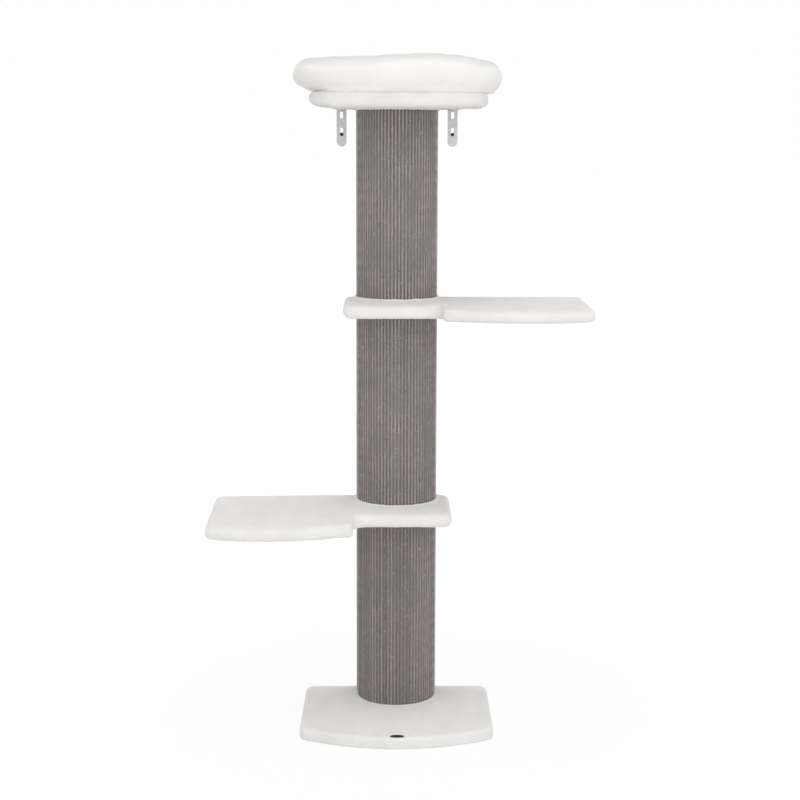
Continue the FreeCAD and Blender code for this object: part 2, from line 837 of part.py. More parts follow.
def bracket(name, x):
    """A steel strap bent to an L: its shelf lies under the bed, and its slotted leg lies on the wall."""
    half = size("bracket_width") / 2
    thick = size("bracket_thickness")
    outer_bend = size("bracket_bend_radius") + thick
    inner_bend = size("bracket_bend_radius")
    shelf = size("bracket_shelf_length")
    drop = size("bracket_drop")
    body = doc.addObject("PartDesign::Body", f"{name}_strap")
    profile = new_sketch(body, f"{name}_profile", "YZ_Plane", -half)
    bend = 1 - DIAGONAL
    corners = [
        (out(0), -drop),
        (out(0), -outer_bend),
        (out(outer_bend), Size(0)),
        (out(shelf), Size(0)),
        (out(shelf), -thick),
        (out(outer_bend), -thick),
        (out(thick), -outer_bend),
        (out(thick), -drop),
    ]
    arcs = {
        1: (out(outer_bend * bend), -(outer_bend * bend)),
        5: (out(thick + inner_bend * bend), -(thick + inner_bend * bend)),
    }
    draw_outline(profile, corners, arcs)
    pad = body.newObject("PartDesign::Pad", f"{name}_pad")
    pad.Profile = profile
    bind(pad, "Length", size("bracket_width"))
    place(body, x, Size(0), bed_bottom)
    doc.recompute()
    tip_corners = strap_corner_edges(pad.Shape, -drop.number, out(shelf).number)
    ends = body.newObject("PartDesign::Fillet", f"{name}_round_ends")
    ends.Base = (pad, tip_corners)
    bind(ends, "Radius", half - size("glue_gap"))
    doc.recompute()
    slots = []
    for index, height in enumerate(slot_heights()):
        slots.append(slot_cutter(f"{name}_slot_{index}", x, height))
    holes = []
    for index, (hole_x, hole_y) in enumerate(bracket_screw_places()):
        if abs(hole_x.number - x.number) < TOUCH:
            hole_radius = size("bracket_screw_radius") + size("screw_clearance")
            span = (bed_bottom - thick, bed_bottom)
            holes.append(rod(f"{name}_hole_{index}", hole_radius, hole_x, hole_y, span))
    return cut(name, body, slots + holes)


def strap_corner_edges(shape, leg_end, shelf_end):
    """Names of the short edges across the strap's thickness at its two ends."""
    names = []
    for index, edge in enumerate(shape.Edges, start=1):
        points = [vertex.Point for vertex in edge.Vertexes]
        same_side = abs(points[0].x - points[-1].x) < TOUCH
        at_leg_end = all(abs(point.z - leg_end) < TOUCH for point in points)
        at_shelf_end = all(abs(point.y - shelf_end) < TOUCH for point in points)
        if same_side and (at_leg_end or at_shelf_end):
            names.append(f"Edge{index}")
    return names


def slot_cutter(name, x, height):
    """A long hole through the leg: two round ends and the block between them."""
    radius = size("slot_width") / 2
    half = (size("slot_length") - size("slot_width")) / 2
    depth_span = (out(size("bracket_thickness")), out(0))
    ends = []
    for index, z in enumerate((height - half, height + half)):
        end = doc.addObject("Part::Cylinder", f"{name}_end_{index}")
        bind(end, "Radius", radius)
        bind(end, "Height", size("bracket_thickness"))
        end.Placement.Rotation = FreeCAD.Rotation(FreeCAD.Vector(1, 0, 0), 90)
        place(end, x, out(0), z)
        ends.append(end)
    middle = box(f"{name}_middle", (x - radius, x + radius), depth_span, (height - half, height + half))
    return fuse(name, ends + [middle])


# A pan head in shares of its radius and height: its flat top, its rim, and a point of the curve between.
PAN_FLAT = 0.45
PAN_RIM = 0.35
PAN_BULGE = (0.84, 0.8)


def pan_screw(name, radius, grip, neck_length, point, x, y, z, upright):
    """A pan-head screw with its head's underside at the given place and its shank up or into the wall.

    The neck under the head is smooth and thinner than the thread, whose crests are at the radius.
    """
    body = doc.addObject("PartDesign::Body", name)
    sketch = new_sketch(body, f"{name}_profile", "XZ_Plane")
    head_radius = size("screw_head_radius")
    head = size("screw_head_height")
    neck_radius = radius - size("screw_thread_height")
    corners = [
        (Size(0), -head),
        (head_radius * PAN_FLAT, -head),
        (head_radius, -(head * PAN_RIM)),
        (head_radius, Size(0)),
        (neck_radius, Size(0)),
        (neck_radius, neck_length),
        (radius, neck_length),
        (radius, grip - point),
        (Size(0), grip),
    ]
    bulge = (head_radius * PAN_BULGE[0], -(head * PAN_BULGE[1]))
    draw_outline(sketch, corners, {1: bulge})
    turn = body.newObject("PartDesign::Revolution", f"{name}_turned")
    turn.Profile = sketch
    turn.ReferenceAxis = (sketch, ["V_Axis"])
    turn.Angle = 360
    if not upright:
        body.Placement.Rotation = FreeCAD.Rotation(FreeCAD.Vector(1, 0, 0), -90)
    place(body, x, y, z)
    doc.recompute()
    return body


def bracket_parts():
    thick = size("bracket_thickness")
    shelf_underside = bed_bottom - thick
    grip = thick + plush + size("bracket_screw_grip") - size("screw_clearance")
    radius = size("bracket_screw_radius")
    holding = []
    point = size("bracket_screw_point")
    for index, (x, y) in enumerate(bracket_screw_places()):
        name = f"bracket_screw_{index}"
        holding.append(pan_screw(name, radius, grip, thick, point, x, y, shelf_underside, True))
    slot_floor = slot_heights()[0] - size("slot_length") / 2
    neck_radius = size("wall_screw_radius") - size("screw_thread_height")
    resting = slot_floor + neck_radius + size("screw_clearance")
    wall_screws = [
        pan_screw(
            f"wall_screw_{side}",
            size("wall_screw_radius"),
            thick + size("wall_screw_reach"),
            thick + size("wall_screw_neck_reach"),
            size("wall_screw_point"),
            x,
            out(thick),
            resting,
            False,
        )
        for side, x in (("left", -bracket_x), ("right", bracket_x))
    ]
    return {
        "left_wall_bracket": bracket("left_wall_bracket", -bracket_x),
        "right_wall_bracket": bracket("right_wall_bracket", bracket_x),
        "bracket_screws": group("bracket_screws", holding),
        "wall_screws": group("wall_screws", wall_screws),
    }


# ------------------------------------------------------------------ the whole tree
def build():
    centre = [Size(0)]
    pair = [-bolt_x, bolt_x]
    parts = base_parts()
    parts |= post("lower_post", base_top, size("lower_post_length"), pair, centre)
    parts |= platform_parts("lower_platform", -1, lower_platform_bottom)
    parts |= post("middle_post", lower_platform_top, size("middle_post_length"), centre, centre)
    parts |= platform_parts("upper_platform", 1, upper_platform_bottom)
    parts |= post("upper_post", upper_platform_top, size("upper_post_length"), centre, pair)
    parts |= bed_parts()
    parts |= bracket_parts()
    doc.recompute()
    return parts


def check(parts):
    """Stop if any feature failed or any piece is not a valid solid."""
    for item in doc.Objects:
        if "Invalid" in item.State or "Error" in item.State:
            raise RuntimeError(f"{item.Name} failed: {item.State}")
    for name, item in parts.items():
        shape = item.Shape
        if shape.isNull() or not shape.isValid() or not shape.Solids:
            raise RuntimeError(f"{name} is not a valid solid")


def export(parts):
    os.makedirs("parts", exist_ok=True)
    for name, item in parts.items():
        item.Label = name
        item.Shape.exportStep(os.path.join("parts", f"{name}.step"))
        print(f"{name}: {len(item.Shape.Solids)} solid(s), {item.Shape.Volume / 1000:.1f} cm3")


pieces = build()
check(pieces)
export(pieces)
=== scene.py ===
import json
import math

import bmesh
import bpy
from mathutils import Matrix, Vector, noise
from mathutils.bvhtree import BVHTree


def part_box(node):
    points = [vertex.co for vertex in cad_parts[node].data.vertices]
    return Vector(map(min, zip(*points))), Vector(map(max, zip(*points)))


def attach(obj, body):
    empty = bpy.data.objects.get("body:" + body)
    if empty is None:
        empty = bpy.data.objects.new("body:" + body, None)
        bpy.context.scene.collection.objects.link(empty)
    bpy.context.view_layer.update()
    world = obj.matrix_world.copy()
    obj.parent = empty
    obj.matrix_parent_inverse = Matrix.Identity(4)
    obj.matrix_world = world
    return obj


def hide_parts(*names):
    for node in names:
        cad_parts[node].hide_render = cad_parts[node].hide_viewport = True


# A cat tree that stands on the floor and is screwed to the wall. X runs across its front, +Y goes to the
# wall and +Z up, in metres, with the floor at Z = 0 and the posts' centre at X = 0.

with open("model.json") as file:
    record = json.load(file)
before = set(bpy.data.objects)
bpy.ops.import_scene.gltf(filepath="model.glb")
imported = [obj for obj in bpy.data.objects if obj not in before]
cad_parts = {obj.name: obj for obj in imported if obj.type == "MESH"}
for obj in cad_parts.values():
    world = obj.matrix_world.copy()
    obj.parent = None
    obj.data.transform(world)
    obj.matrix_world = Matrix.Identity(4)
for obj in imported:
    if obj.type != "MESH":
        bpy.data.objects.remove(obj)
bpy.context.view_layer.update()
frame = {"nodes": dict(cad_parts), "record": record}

MM = 0.001
SAME_PLACE = 0.001 * MM

# -------------------- places read from the frame
wall_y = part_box("middle_post_back_cover")[1].y
base_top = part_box("lower_post_sisal")[0].z
bed_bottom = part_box("upper_post_sisal")[1].z
bed_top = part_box("bed_bolster")[0].z
sisal_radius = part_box("middle_post_sisal")[1].x
sisal_arc_depth = wall_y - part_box("middle_post_sisal")[0].y - sisal_radius
sisal_inner_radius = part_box("middle_post_shell")[1].x + 0.1 * MM
panel_front_depth = wall_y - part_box("middle_post_sisal")[1].y

# How dark the darkest ribs of each post's sisal are, from 0 to 1. The ribs' tones differ at random, and the
# upper posts are kept lighter as painted light, to make up for the shade under the bed.
POSTS = {"lower_post": 0.7, "middle_post": 0.4, "upper_post": 0.0}


def out(depth):
    """The Y of a point that lies this far out from the wall plane."""
    return wall_y - depth


# -------------------- making and changing pieces
def new_piece(name, data):
    piece = bpy.data.objects.new(name, data)
    bpy.context.scene.collection.objects.link(piece)
    return piece


def drawn_mesh(name, points, faces):
    mesh = bpy.data.meshes.new(name)
    mesh.from_pydata([tuple(point) for point in points], [], faces)
    mesh.validate()
    return mesh


def smooth(piece):
    piece.data.polygons.foreach_set("use_smooth", [True] * len(piece.data.polygons))
    piece.data.update()


def settle(piece):
    """Turn a piece with its modifiers into a plain mesh."""
    graph = bpy.context.evaluated_depsgraph_get()
    mesh = bpy.data.meshes.new_from_object(piece.evaluated_get(graph), depsgraph=graph)
    old = piece.data
    piece.modifiers.clear()
    piece.data = mesh
    bpy.data.meshes.remove(old)
    mesh.name = piece.name


def edit(piece, change):
    """Run a bmesh change on a piece's mesh."""
    mesh = bmesh.new()
    mesh.from_mesh(piece.data)
    change(mesh)
    mesh.normal_update()
    mesh.to_mesh(piece.data)
    mesh.free()
    piece.data.update()


def face_outward(work):
    bmesh.ops.recalc_face_normals(work, faces=work.faces)


def relax(piece, rounds):
    easing = piece.modifiers.new("easing", "SMOOTH")
    easing.factor = 0.5
    easing.iterations = rounds
    settle(piece)


def soft_copy(name, node, voxel, ease):
    """A CAD solid's surface as an even soft mesh: merged, remeshed to voxels of this size and eased."""
    mesh = frame["nodes"][node].data.copy()
    mesh.materials.clear()
    piece = new_piece(name, mesh)
    edit(piece, lambda work: bmesh.ops.remove_doubles(work, verts=work.verts, dist=SAME_PLACE))
    remesh = piece.modifiers.new("even_mesh", "REMESH")
    remesh.mode = "VOXEL"
    remesh.voxel_size = voxel
    relax(piece, ease)
    smooth(piece)
    return piece


def surface_of(piece):
    return BVHTree.FromObject(piece, bpy.context.evaluated_depsgraph_get())


def move_points(piece, shift_at):
    """Move every point by shift_at(place, normal), none of them into the wall."""
    piece.data.update()
    shifts = [shift_at(point.co, point.normal) for point in piece.data.vertices]
    for point, shift in zip(piece.data.vertices, shifts):
        point.co += shift
        point.co.y = min(point.co.y, wall_y)
    piece.data.update()


def waves(place, length, seed):
    """Smooth unevenness between -1 and 1 with bumps of about this length."""
    return noise.noise(place / length + Vector((seed * 7.31, seed * 3.17, seed * 5.93)))


def ease_in(share):
    share = min(1.0, max(0.0, share))
    return share * share * (3 - 2 * share)


def finish_piece(piece, body, slot, *nodes):
    """Give a finished piece its body and the material of its slot, and hide the CAD nodes it stands for."""
    if not any(piece.data.materials):
        piece.data.materials.append(MATERIALS[slot])
    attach(piece, body)
    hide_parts(*nodes)


# -------------------- materials
def paint(red, green, blue):
    """A colour given in the 0 to 255 of a paint chart, as the shader wants it."""
    def linear(value):
        value /= 255
        return value / 12.92 if value <= 0.04045 else ((value + 0.055) / 1.055) ** 2.4

    return (linear(red), linear(green), linear(blue), 1.0)


def add_node(tree, kind, settings=None, **sockets):
    """A node with its settings and what feeds its sockets, by name or, as i0, i1, by number."""
    node = tree.nodes.new(kind)
    for name, value in (settings or {}).items():
        setattr(node, name, value)
    for name, value in sockets.items():
        is_number = name[0] == "i" and name[1:].isdigit()
        socket = node.inputs[int(name[1:])] if is_number else node.inputs[name.replace("_", " ")]
        if isinstance(value, bpy.types.NodeSocket):
            tree.links.new(value, socket)
        else:
            socket.default_value = value
    return node


class Finish:
    """A material whose patterns lie on the piece in its own coordinates."""

    def __init__(self, name, roughness, metallic=0.0, sheen=0.0):
        self.material = bpy.data.materials.new(name)
        self.material.use_nodes = True
        self.tree = self.material.node_tree
        self.shader = self.tree.nodes["Principled BSDF"]
        self.shader.inputs["Roughness"].default_value = roughness
        self.shader.inputs["Metallic"].default_value = metallic
        if sheen:
            self.shader.inputs["Sheen Weight"].default_value = sheen
            self.shader.inputs["Sheen Roughness"].default_value = 0.45
        self.places = self.add("ShaderNodeTexCoord").outputs["Object"]

    def add(self, kind, settings=None, **sockets):
        return add_node(self.tree, kind, settings, **sockets)

    def stretched(self, stretch):
        return self.add("ShaderNodeMapping", Vector=self.places, Scale=stretch).outputs["Vector"]

    def grain(self, size, detail=2.0, stretch=None):
        """Noise with grains of about this size in metres."""
        vector = self.stretched(stretch) if stretch else self.places
        return self.add("ShaderNodeTexNoise", Vector=vector, Scale=1 / size, Detail=detail).outputs["Fac"]

    def flakes(self, size, stretch):
        return self.add("ShaderNodeTexVoronoi", Vector=self.stretched(stretch), Scale=1 / size)

    def bands(self, size, direction):
        scale = math.pi / 10 / size
        settings = {"bands_direction": direction}
        return self.add("ShaderNodeTexWave", settings, Vector=self.places, Scale=scale).outputs["Fac"]

    def attribute(self, name):
        return self.add("ShaderNodeAttribute", {"attribute_name": name}).outputs["Fac"]

    def upward(self):
        """How far the surface faces up, from -1 to 1."""
        facing = self.add("ShaderNodeNewGeometry").outputs["Normal"]
        return self.add("ShaderNodeSeparateXYZ", Vector=facing).outputs["Z"]

    def span(self, value, low, high, to_low=0.0, to_high=1.0):
        """Spread the part of a value between low and high over another range."""
        ends = {"From_Min": low, "From_Max": high, "To_Min": to_low, "To_Max": to_high}
        return self.add("ShaderNodeMapRange", Value=value, **ends).outputs["Result"]

    def mix(self, pattern, ends, first, second):
        """Mix two colours by a pattern, whose ends and shares are as in span(); each may be a mix."""
        share = self.span(pattern, *ends)
        return self.add("ShaderNodeMix", {"data_type": "RGBA"}, i0=share, i6=first, i7=second).outputs[2]

    def bump(self, height, depth, strength=1.0, over=None):
        """A bump of this depth in metres, laid over another bump where one is given."""
        node = self.add("ShaderNodeBump", Height=height, Distance=depth, Strength=strength)
        if over is not None:
            self.tree.links.new(over, node.inputs["Normal"])
        return node.outputs["Normal"]

    def done(self, colour, normal, roughness=None):
        self.tree.links.new(colour, self.shader.inputs["Base Color"])
        self.tree.links.new(normal, self.shader.inputs["Normal"])
        if roughness is not None:
            self.tree.links.new(roughness, self.shader.inputs["Roughness"])
        return self.material


def plush(name, light, shade, painted_top_shade=None):
    """Short white pile: strokes where the pile lies another way, small tufts, and a soft sheen.

    On a stuffed piece the surfaces that face up are mixed towards a last, darker colour: painted shade on its
    top.
    """
    finish = Finish(name, 0.93, sheen=0.22)
    strokes = finish.grain(0.055, 3.0, stretch=(1.0, 0.6, 1.4))
    tufts = finish.grain(0.0042, 2.0)
    hairs = finish.grain(0.0011, 3.0)
    colour = finish.mix(strokes, (0.35, 0.65, 0.25, 1.0), shade, light)
    colour = finish.mix(tufts, (0.35, 0.6, 0.3, 0.0), colour, shade)
    if painted_top_shade:
        # painted shade: surfaces that face up turn darker
        colour = finish.mix(finish.upward(), (0.45, 0.95), colour, painted_top_shade)
    normal = finish.bump(tufts, 1.1 * MM, 0.55)
    normal = finish.bump(hairs, 0.5 * MM, 0.5, over=normal)
    return finish.done(colour, normal)


def back_felt():
    """The thin pale cloth that is drawn round the back panels."""
    finish = Finish("back_felt", 0.9, sheen=0.1)
    fibres = finish.grain(0.0012, 4.0, stretch=(1.0, 1.0, 0.35))
    clouds = finish.grain(0.03, 2.0)
    colour = finish.mix(fibres, (0.35, 0.65), paint(188, 185, 181), paint(216, 214, 211))
    colour = finish.mix(clouds, (0.4, 0.65, 0.0, 0.25), colour, paint(206, 203, 198))
    return finish.done(colour, finish.bump(fibres, 0.3 * MM, 0.6))


def sisal():
    """Grey-brown sisal yarn: fibres along each rib, ribs of uneven tone, and a painted highlight along their
    crests.
    """
    finish = Finish("sisal", 0.88, sheen=0.08)
    fibres = finish.grain(0.0011, 4.0, stretch=(1.0, 1.0, 0.07))
    patches = finish.grain(0.05, 3.0, stretch=(1.0, 1.0, 0.5))
    specks = finish.grain(0.0035, 2.0, stretch=(1.0, 1.0, 0.6))
    pits = finish.grain(0.0042, 2.0, stretch=(1.0, 1.0, 0.5))
    cloth = finish.mix(fibres, (0.3, 0.7), paint(110, 101, 100), paint(139, 130, 129))
    # painted highlight: where "rib" marks a yarn's crest, the yarn is painted lighter
    crest = finish.mix(fibres, (0.3, 0.7), paint(148, 137, 136), paint(189, 178, 177))
    colour = finish.mix(finish.attribute("rib"), (0.7, 0.98), cloth, crest)
    colour = finish.mix(patches, (0.45, 0.6, 0.0, 0.6), colour, paint(128, 127, 120))
    colour = finish.mix(finish.attribute("rib_tone"), (0.0, 1.0), colour, paint(112, 103, 102))
    colour = finish.mix(specks, (0.66, 0.72, 0.0, 0.75), colour, paint(204, 195, 189))
    colour = finish.mix(pits, (0.67, 0.73, 0.0, 0.7), colour, paint(70, 64, 61))
    return finish.done(colour, finish.bump(fibres, 0.35 * MM, 0.6))


def chipboard():
    """Pressed wood flakes of several tones."""
    finish = Finish("chipboard", 0.75)
    flakes = finish.flakes(0.0045, stretch=(0.55, 1.0, 1.0))
    tone = finish.mix(flakes.outputs["Color"], (0.0, 1.0), paint(186, 150, 106), paint(222, 192, 150))
    dust = finish.grain(0.0014, 3.0)
    colour = finish.mix(dust, (0.4, 0.7, 0.0, 0.5), tone, paint(150, 112, 74))
    return finish.done(colour, finish.bump(flakes.outputs["Distance"], 0.3 * MM, 0.5))


def tube_board():
    """Wound brown board with its spiral joints."""
    finish = Finish("tube_board", 0.8)
    pulp = finish.grain(0.002, 4.0)
    joints = finish.bands(0.06, "DIAGONAL")
    colour = finish.mix(pulp, (0.35, 0.65), paint(150, 117, 82), paint(178, 146, 108))
    colour = finish.mix(joints, (0.0, 0.04, 0.6, 0.0), colour, paint(104, 78, 52))
    return finish.done(colour, finish.bump(pulp, 0.2 * MM, 0.4))


def pad_felt():
    finish = Finish("pad_felt", 0.95, sheen=0.2)
    fibres = finish.grain(0.0013, 4.0)
    colour = finish.mix(fibres, (0.35, 0.65), paint(96, 93, 90), paint(134, 130, 126))
    return finish.done(colour, finish.bump(fibres, 0.4 * MM, 0.8))


def metal(name, dark, light, roughness, metallic, wear=0.0):
    """Plated or painted steel with fine brushing, slight blotches and brighter rubbed spots."""
    finish = Finish(name, roughness, metallic)
    brushing = finish.grain(0.0006, 3.0, stretch=(1.0, 1.0, 0.12))
    blotches = finish.grain(0.009, 3.0)
    colour = finish.mix(blotches, (0.35, 0.65), dark, light)
    if wear:
        rubbed = finish.grain(0.002, 4.0)
        colour = finish.mix(rubbed, (0.6, 0.72, 0.0, wear), colour, paint(150, 148, 145))
    rough = finish.span(brushing, 0.3, 0.7, roughness - 0.08, roughness + 0.08)
    return finish.done(colour, finish.bump(brushing, 0.05 * MM, 0.25), rough)


MATERIALS = {
    "plush": plush("plush", paint(246, 244, 242), paint(236, 235, 232)),
    # The stuffed plush is painted lighter than the flat plush, as painted light on the bolster and cushion;
    # its last colour is the painted shade on their tops.
    "stuffed_plush": plush("stuffed_plush", paint(253, 252, 249), paint(246, 244, 240), paint(228, 228, 227)),
    "back_cloth": back_felt(),
    "sisal": sisal(),
    "wood_board": chipboard(),
    "tube_board": tube_board(),
    "felt": pad_felt(),
    "dark_plate": metal("dark_plate", paint(44, 43, 42), paint(58, 57, 56), 0.42, 0.6),
    "bracket_steel": metal("bracket_steel", paint(216, 216, 215), paint(228, 228, 227), 0.5, 0.15),
    "black_steel": metal("black_steel", paint(46, 46, 47), paint(62, 62, 63), 0.45, 0.4, 0.15),
    "zinc_steel": metal("zinc_steel", paint(176, 176, 174), paint(206, 206, 204), 0.35, 1.0, 0.15),
}


def dress_cad_nodes():
    """Give every CAD node the material of its slot in the record."""
    slots = {row["node"]: row["material_slot"] for row in frame["record"]["subparts"]}
    for node, piece in frame["nodes"].items():
        piece.data.materials.clear()
        piece.data.materials.append(MATERIALS[slots[node]])


# -------------------- plush covers
PLUSH_VOXEL = 3.2 * MM
PILE_HEIGHT = 0.45 * MM
STROKE_LENGTH = 0.045
TUFT_LENGTH = 0.0085
PRESS_DEPTH = 0.35 * MM
WELT_AWAY = 3.5 * MM
WELT_WIDTH = 4 * MM


def beyond_post(place):
    """How far a point of the plan lies outside the sisal of the posts."""
    depth = wall_y - place.y
    if depth < sisal_arc_depth:
        return abs(place.x) - sisal_radius
    return math.hypot(place.x, depth - sisal_arc_depth) - sisal_radius


def pile(place, seed):
    """The uneven lie of the pile: broad strokes and small tufts, as a height."""
    strokes = waves(place, STROKE_LENGTH, seed) * PILE_HEIGHT
    tufts = waves(place, TUFT_LENGTH, seed + 1) * PILE_HEIGHT
    return strokes + tufts


def pressed_round_post(place, normal, level, up, welt_height):
    """The plush gives way under a post and stands up in an uneven welt round it."""
    away = beyond_post(place)
    near_level = abs(place.z - level) < 3 * MM and normal.z * up > 0.6
    if not near_level:
        return 0.0
    if away < 0:
        return -PRESS_DEPTH * up
    welt = welt_height * math.exp(-(((away - WELT_AWAY) / WELT_WIDTH) ** 2))
    return welt * up * (1 + 0.25 * waves(place, 0.011, 3))


BASE_BULGE = 0.8 * MM
BASE_HEM_DROP = 2.3 * MM
BASE_SIDE_DRAW = {-1: 1.2 * MM, 1: 2.5 * MM}
BASE_BACK_DRAW = {-1: 3.3 * MM, 1: -1.0 * MM}
BASE_BACK_LIFT = 3.5 * MM
BASE_END_START = 0.19
BASE_END_LENGTH = 0.035
BASE_WELT = 1.6 * MM
PLATE_SINK = 1.6 * MM


def base_plush():
    piece = soft_copy("base_plush", "base_cover", PLUSH_VOXEL, 3)
    low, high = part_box("name_plate")
    centre = (low + high) / 2
    half = (high - low) / 2

    def shift(place, normal):
        rise = pressed_round_post(place, normal, base_top, 1, BASE_WELT)
        level_side = 1 - abs(normal.z)
        height = pile(place, 1) + BASE_BULGE * level_side * ease_in(place.z / base_top + 0.3)
        rise -= BASE_HEM_DROP * ease_in((base_top * 0.45 - place.z) / (base_top * 0.35))
        if normal.z > 0.6 and place.z > base_top - 5 * MM:
            if beyond_post(place) < 0:
                height = 0.0
            ring = math.hypot((place.x - centre.x) / half.x, (place.y - centre.y) / half.y)
            if ring < 2.0:
                sink = 1 - ease_in((ring - 1.0) / 0.6)
                target = base_top - PLATE_SINK * sink
                return Vector((0, 0, target - place.z + height * (1 - sink)))
        near_end = ease_in((abs(place.x) - BASE_END_START) / BASE_END_LENGTH)
        near_wall = ease_in(1 - (wall_y - place.y) / 0.3)
        side = 1 if place.x > 0 else -1
        draw = near_end * (BASE_SIDE_DRAW[side] + BASE_BACK_DRAW[side] * near_wall)
        at_back = ease_in((place.y - wall_y + 0.03) / 0.03) * ease_in(place.z / base_top)
        return normal * height + Vector((-side * draw, 0, rise + BASE_BACK_LIFT * at_back))

    move_points(piece, shift)
    finish_piece(piece, "tree", "plush", "base_cover")


# Each platform's plush: the side of its wing, how steeply the wing's plush hangs towards the tip, how much
# thinner it is under the wing, the welt round the post's foot, how far the wing's tip and the collar's free
# end are drawn in, and how far the wing's inner corner drops.
PLATFORMS = {
    "lower_platform": dict(
        side=-1, hang=0.012, thinner=0.0, welt=3.2 * MM,
        tip_draw=3.0 * MM, end_draw=0.0, corner_drop=4.0 * MM,
    ),
    "upper_platform": dict(
        side=1, hang=0.001, thinner=4.2 * MM, welt=5.6 * MM,
        tip_draw=-1.2 * MM, end_draw=4.5 * MM, corner_drop=0.0,
    ),
}
# Distances across from the post's centre: where the wing's plush starts to hang and to thin, and the inner
# corner between the wing and the collar.
HANG_START = 0.13
THIN_START = 0.09
CORNER = 0.1
CORNER_SPAN = (0.08, 0.115)
UNDERSIDE_WELT = 1.5 * MM
FRONT_FALL = 4.5 * MM
FRONT_FALL_DEPTH = 0.055
STRIP = 4 * MM


def front_depths(piece):
    """How far a piece reaches from the wall, for each narrow strip of its width."""
    reach = {}
    for point in piece.data.vertices:
        strip = round(point.co.x / STRIP)
        reach[strip] = max(reach.get(strip, 0.0), wall_y - point.co.y)
    return reach


def fall_to_front(reach, place, across):
    """How much the plush on top sinks where it is drawn over the front edge, less at the inner corner."""
    strip = math.floor(place.x / STRIP)
    share = place.x / STRIP - strip
    depth = wall_y - place.y
    front = reach.get(strip, depth) * (1 - share) + reach.get(strip + 1, depth) * share
    near = max(0.0, 1 - max(0.0, front - depth) / FRONT_FALL_DEPTH)
    near_side, far_side = CORNER_SPAN
    beside_corner = max(ease_in((near_side - across) / 0.03), ease_in((across - far_side) / 0.04))
    return FRONT_FALL * near**2 * beside_corner


def platform_plush(platform, seed, side, hang, thinner, welt, tip_draw, end_draw, corner_drop):
    piece = soft_copy(f"{platform}_plush", f"{platform}_cover", PLUSH_VOXEL, 12)
    low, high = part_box(f"{platform}_cover")
    tip = max(abs(low.x), high.x)
    end = min(abs(low.x), high.x)
    reach = front_depths(piece)

    def shift(place, normal):
        rise = pressed_round_post(place, normal, high.z, 1, welt)
        rise += pressed_round_post(place, normal, low.z, -1, UNDERSIDE_WELT)
        height = pile(place, seed)
        if abs(normal.z) > 0.6 and beyond_post(place) < 0:
            height = 0.0
        across = side * place.x
        below = ease_in((high.z - place.z) / (high.z - low.z))
        rise -= hang * max(0.0, across - HANG_START) + fall_to_front(reach, place, across) * (1 - below)
        rise -= corner_drop * below * math.exp(-(((across - CORNER) / 0.02) ** 2)) * ease_in(-place.y / 0.1)
        rise += thinner * below * ease_in((across - THIN_START) / 0.04)
        rise += end_draw * below * ease_in((-across - end + 0.02) / 0.02)
        draw = end_draw * 0.75 * ease_in((-across - end + 0.03) / 0.03)
        draw -= tip_draw * ease_in((across - tip + 0.05) / 0.05)
        return normal * height + Vector((side * draw, 0, rise))

    move_points(piece, shift)
    finish_piece(piece, "tree", "plush", f"{platform}_cover")


# The bed's padding leans a little: its right side sits lower. The tray's plush is thinner below on both
# sides beyond the brackets, most on the left, where its end is also rounder.
BED_LEAN = 0.020
BESIDE_BRACKET = 0.147
TRAY_WELT = 2.2 * MM
TRAY_LEFT_LIFT = 3.6 * MM
TRAY_RIGHT_LIFT = 2.5 * MM
TRAY_ROUND_START = 0.165
TRAY_ROUND_LIFT = 3 * MM
TRAY_LEFT_DRAW = 3.0 * MM


def bed_lean(place):
    """The lean of the bed's soft parts, none above the post and the brackets."""
    beside = max(0.0, abs(place.x) - BESIDE_BRACKET)
    return -math.copysign(beside, place.x) * BED_LEAN


def tray_plush():
    piece = soft_copy("bed_tray_plush", "bed_cover", PLUSH_VOXEL, 3)
    low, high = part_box("bed_cover")

    def shift(place, normal):
        rise = pressed_round_post(place, normal, low.z, -1, TRAY_WELT) + bed_lean(place)
        height = pile(place, 5)
        if normal.z < -0.6 and beyond_post(place) < 0:
            height = 0.0
        share = ease_in((high.z - place.z) / (high.z - low.z))
        beside = ease_in((abs(place.x) - BESIDE_BRACKET) / 0.02)
        lift = beside * (TRAY_RIGHT_LIFT if place.x > 0 else TRAY_LEFT_LIFT)
        past = max(0.0, (-place.x - TRAY_ROUND_START) / (-low.x - TRAY_ROUND_START))
        lift += TRAY_ROUND_LIFT * past**2
        draw = TRAY_LEFT_DRAW * ease_in(past)
        return normal * height + Vector((draw, 0, rise + lift * share))

    move_points(piece, shift)
    finish_piece(piece, "tree", "plush", "bed_cover")
    return piece


# -------------------- stuffed parts
STUFFING = {
    "quality": 5,
    "mass": 0.3,
    "tension_stiffness": 12,
    "compression_stiffness": 12,
    "shear_stiffness": 4,
    "bending_stiffness": 0.4,
    "use_pressure": True,
    "vertex_group_mass": "held",
}
SIMULATED_FRAMES = 20
STUFFED_VOXEL = 5 * MM


def inflate(piece, held, pressure, most, slack):
    """Puff a stuffed piece up with the cloth simulation, and cap how far any point may move."""
    start = [point.co.copy() for point in piece.data.vertices]
    group = piece.vertex_groups.new(name="held")
    group.add([index for index, place in enumerate(start) if held(place)], 1.0, "REPLACE")
    settings = piece.modifiers.new("stuffing", "CLOTH").settings
    for name, value in STUFFING.items():
        setattr(settings, name, value)
    settings.uniform_pressure_force = pressure
    settings.shrink_min = -slack
    settings.effector_weights.gravity = 0
    scene = bpy.context.scene
    for step in range(1, SIMULATED_FRAMES + 1):
        scene.frame_set(step)
    settle(piece)
    scene.frame_set(1)
    piece.vertex_groups.clear()
    for point, before in zip(piece.data.vertices, start):
        moved = point.co - before
        if moved.length > most:
            point.co = before + moved * (most / moved.length)
    smooth(piece)


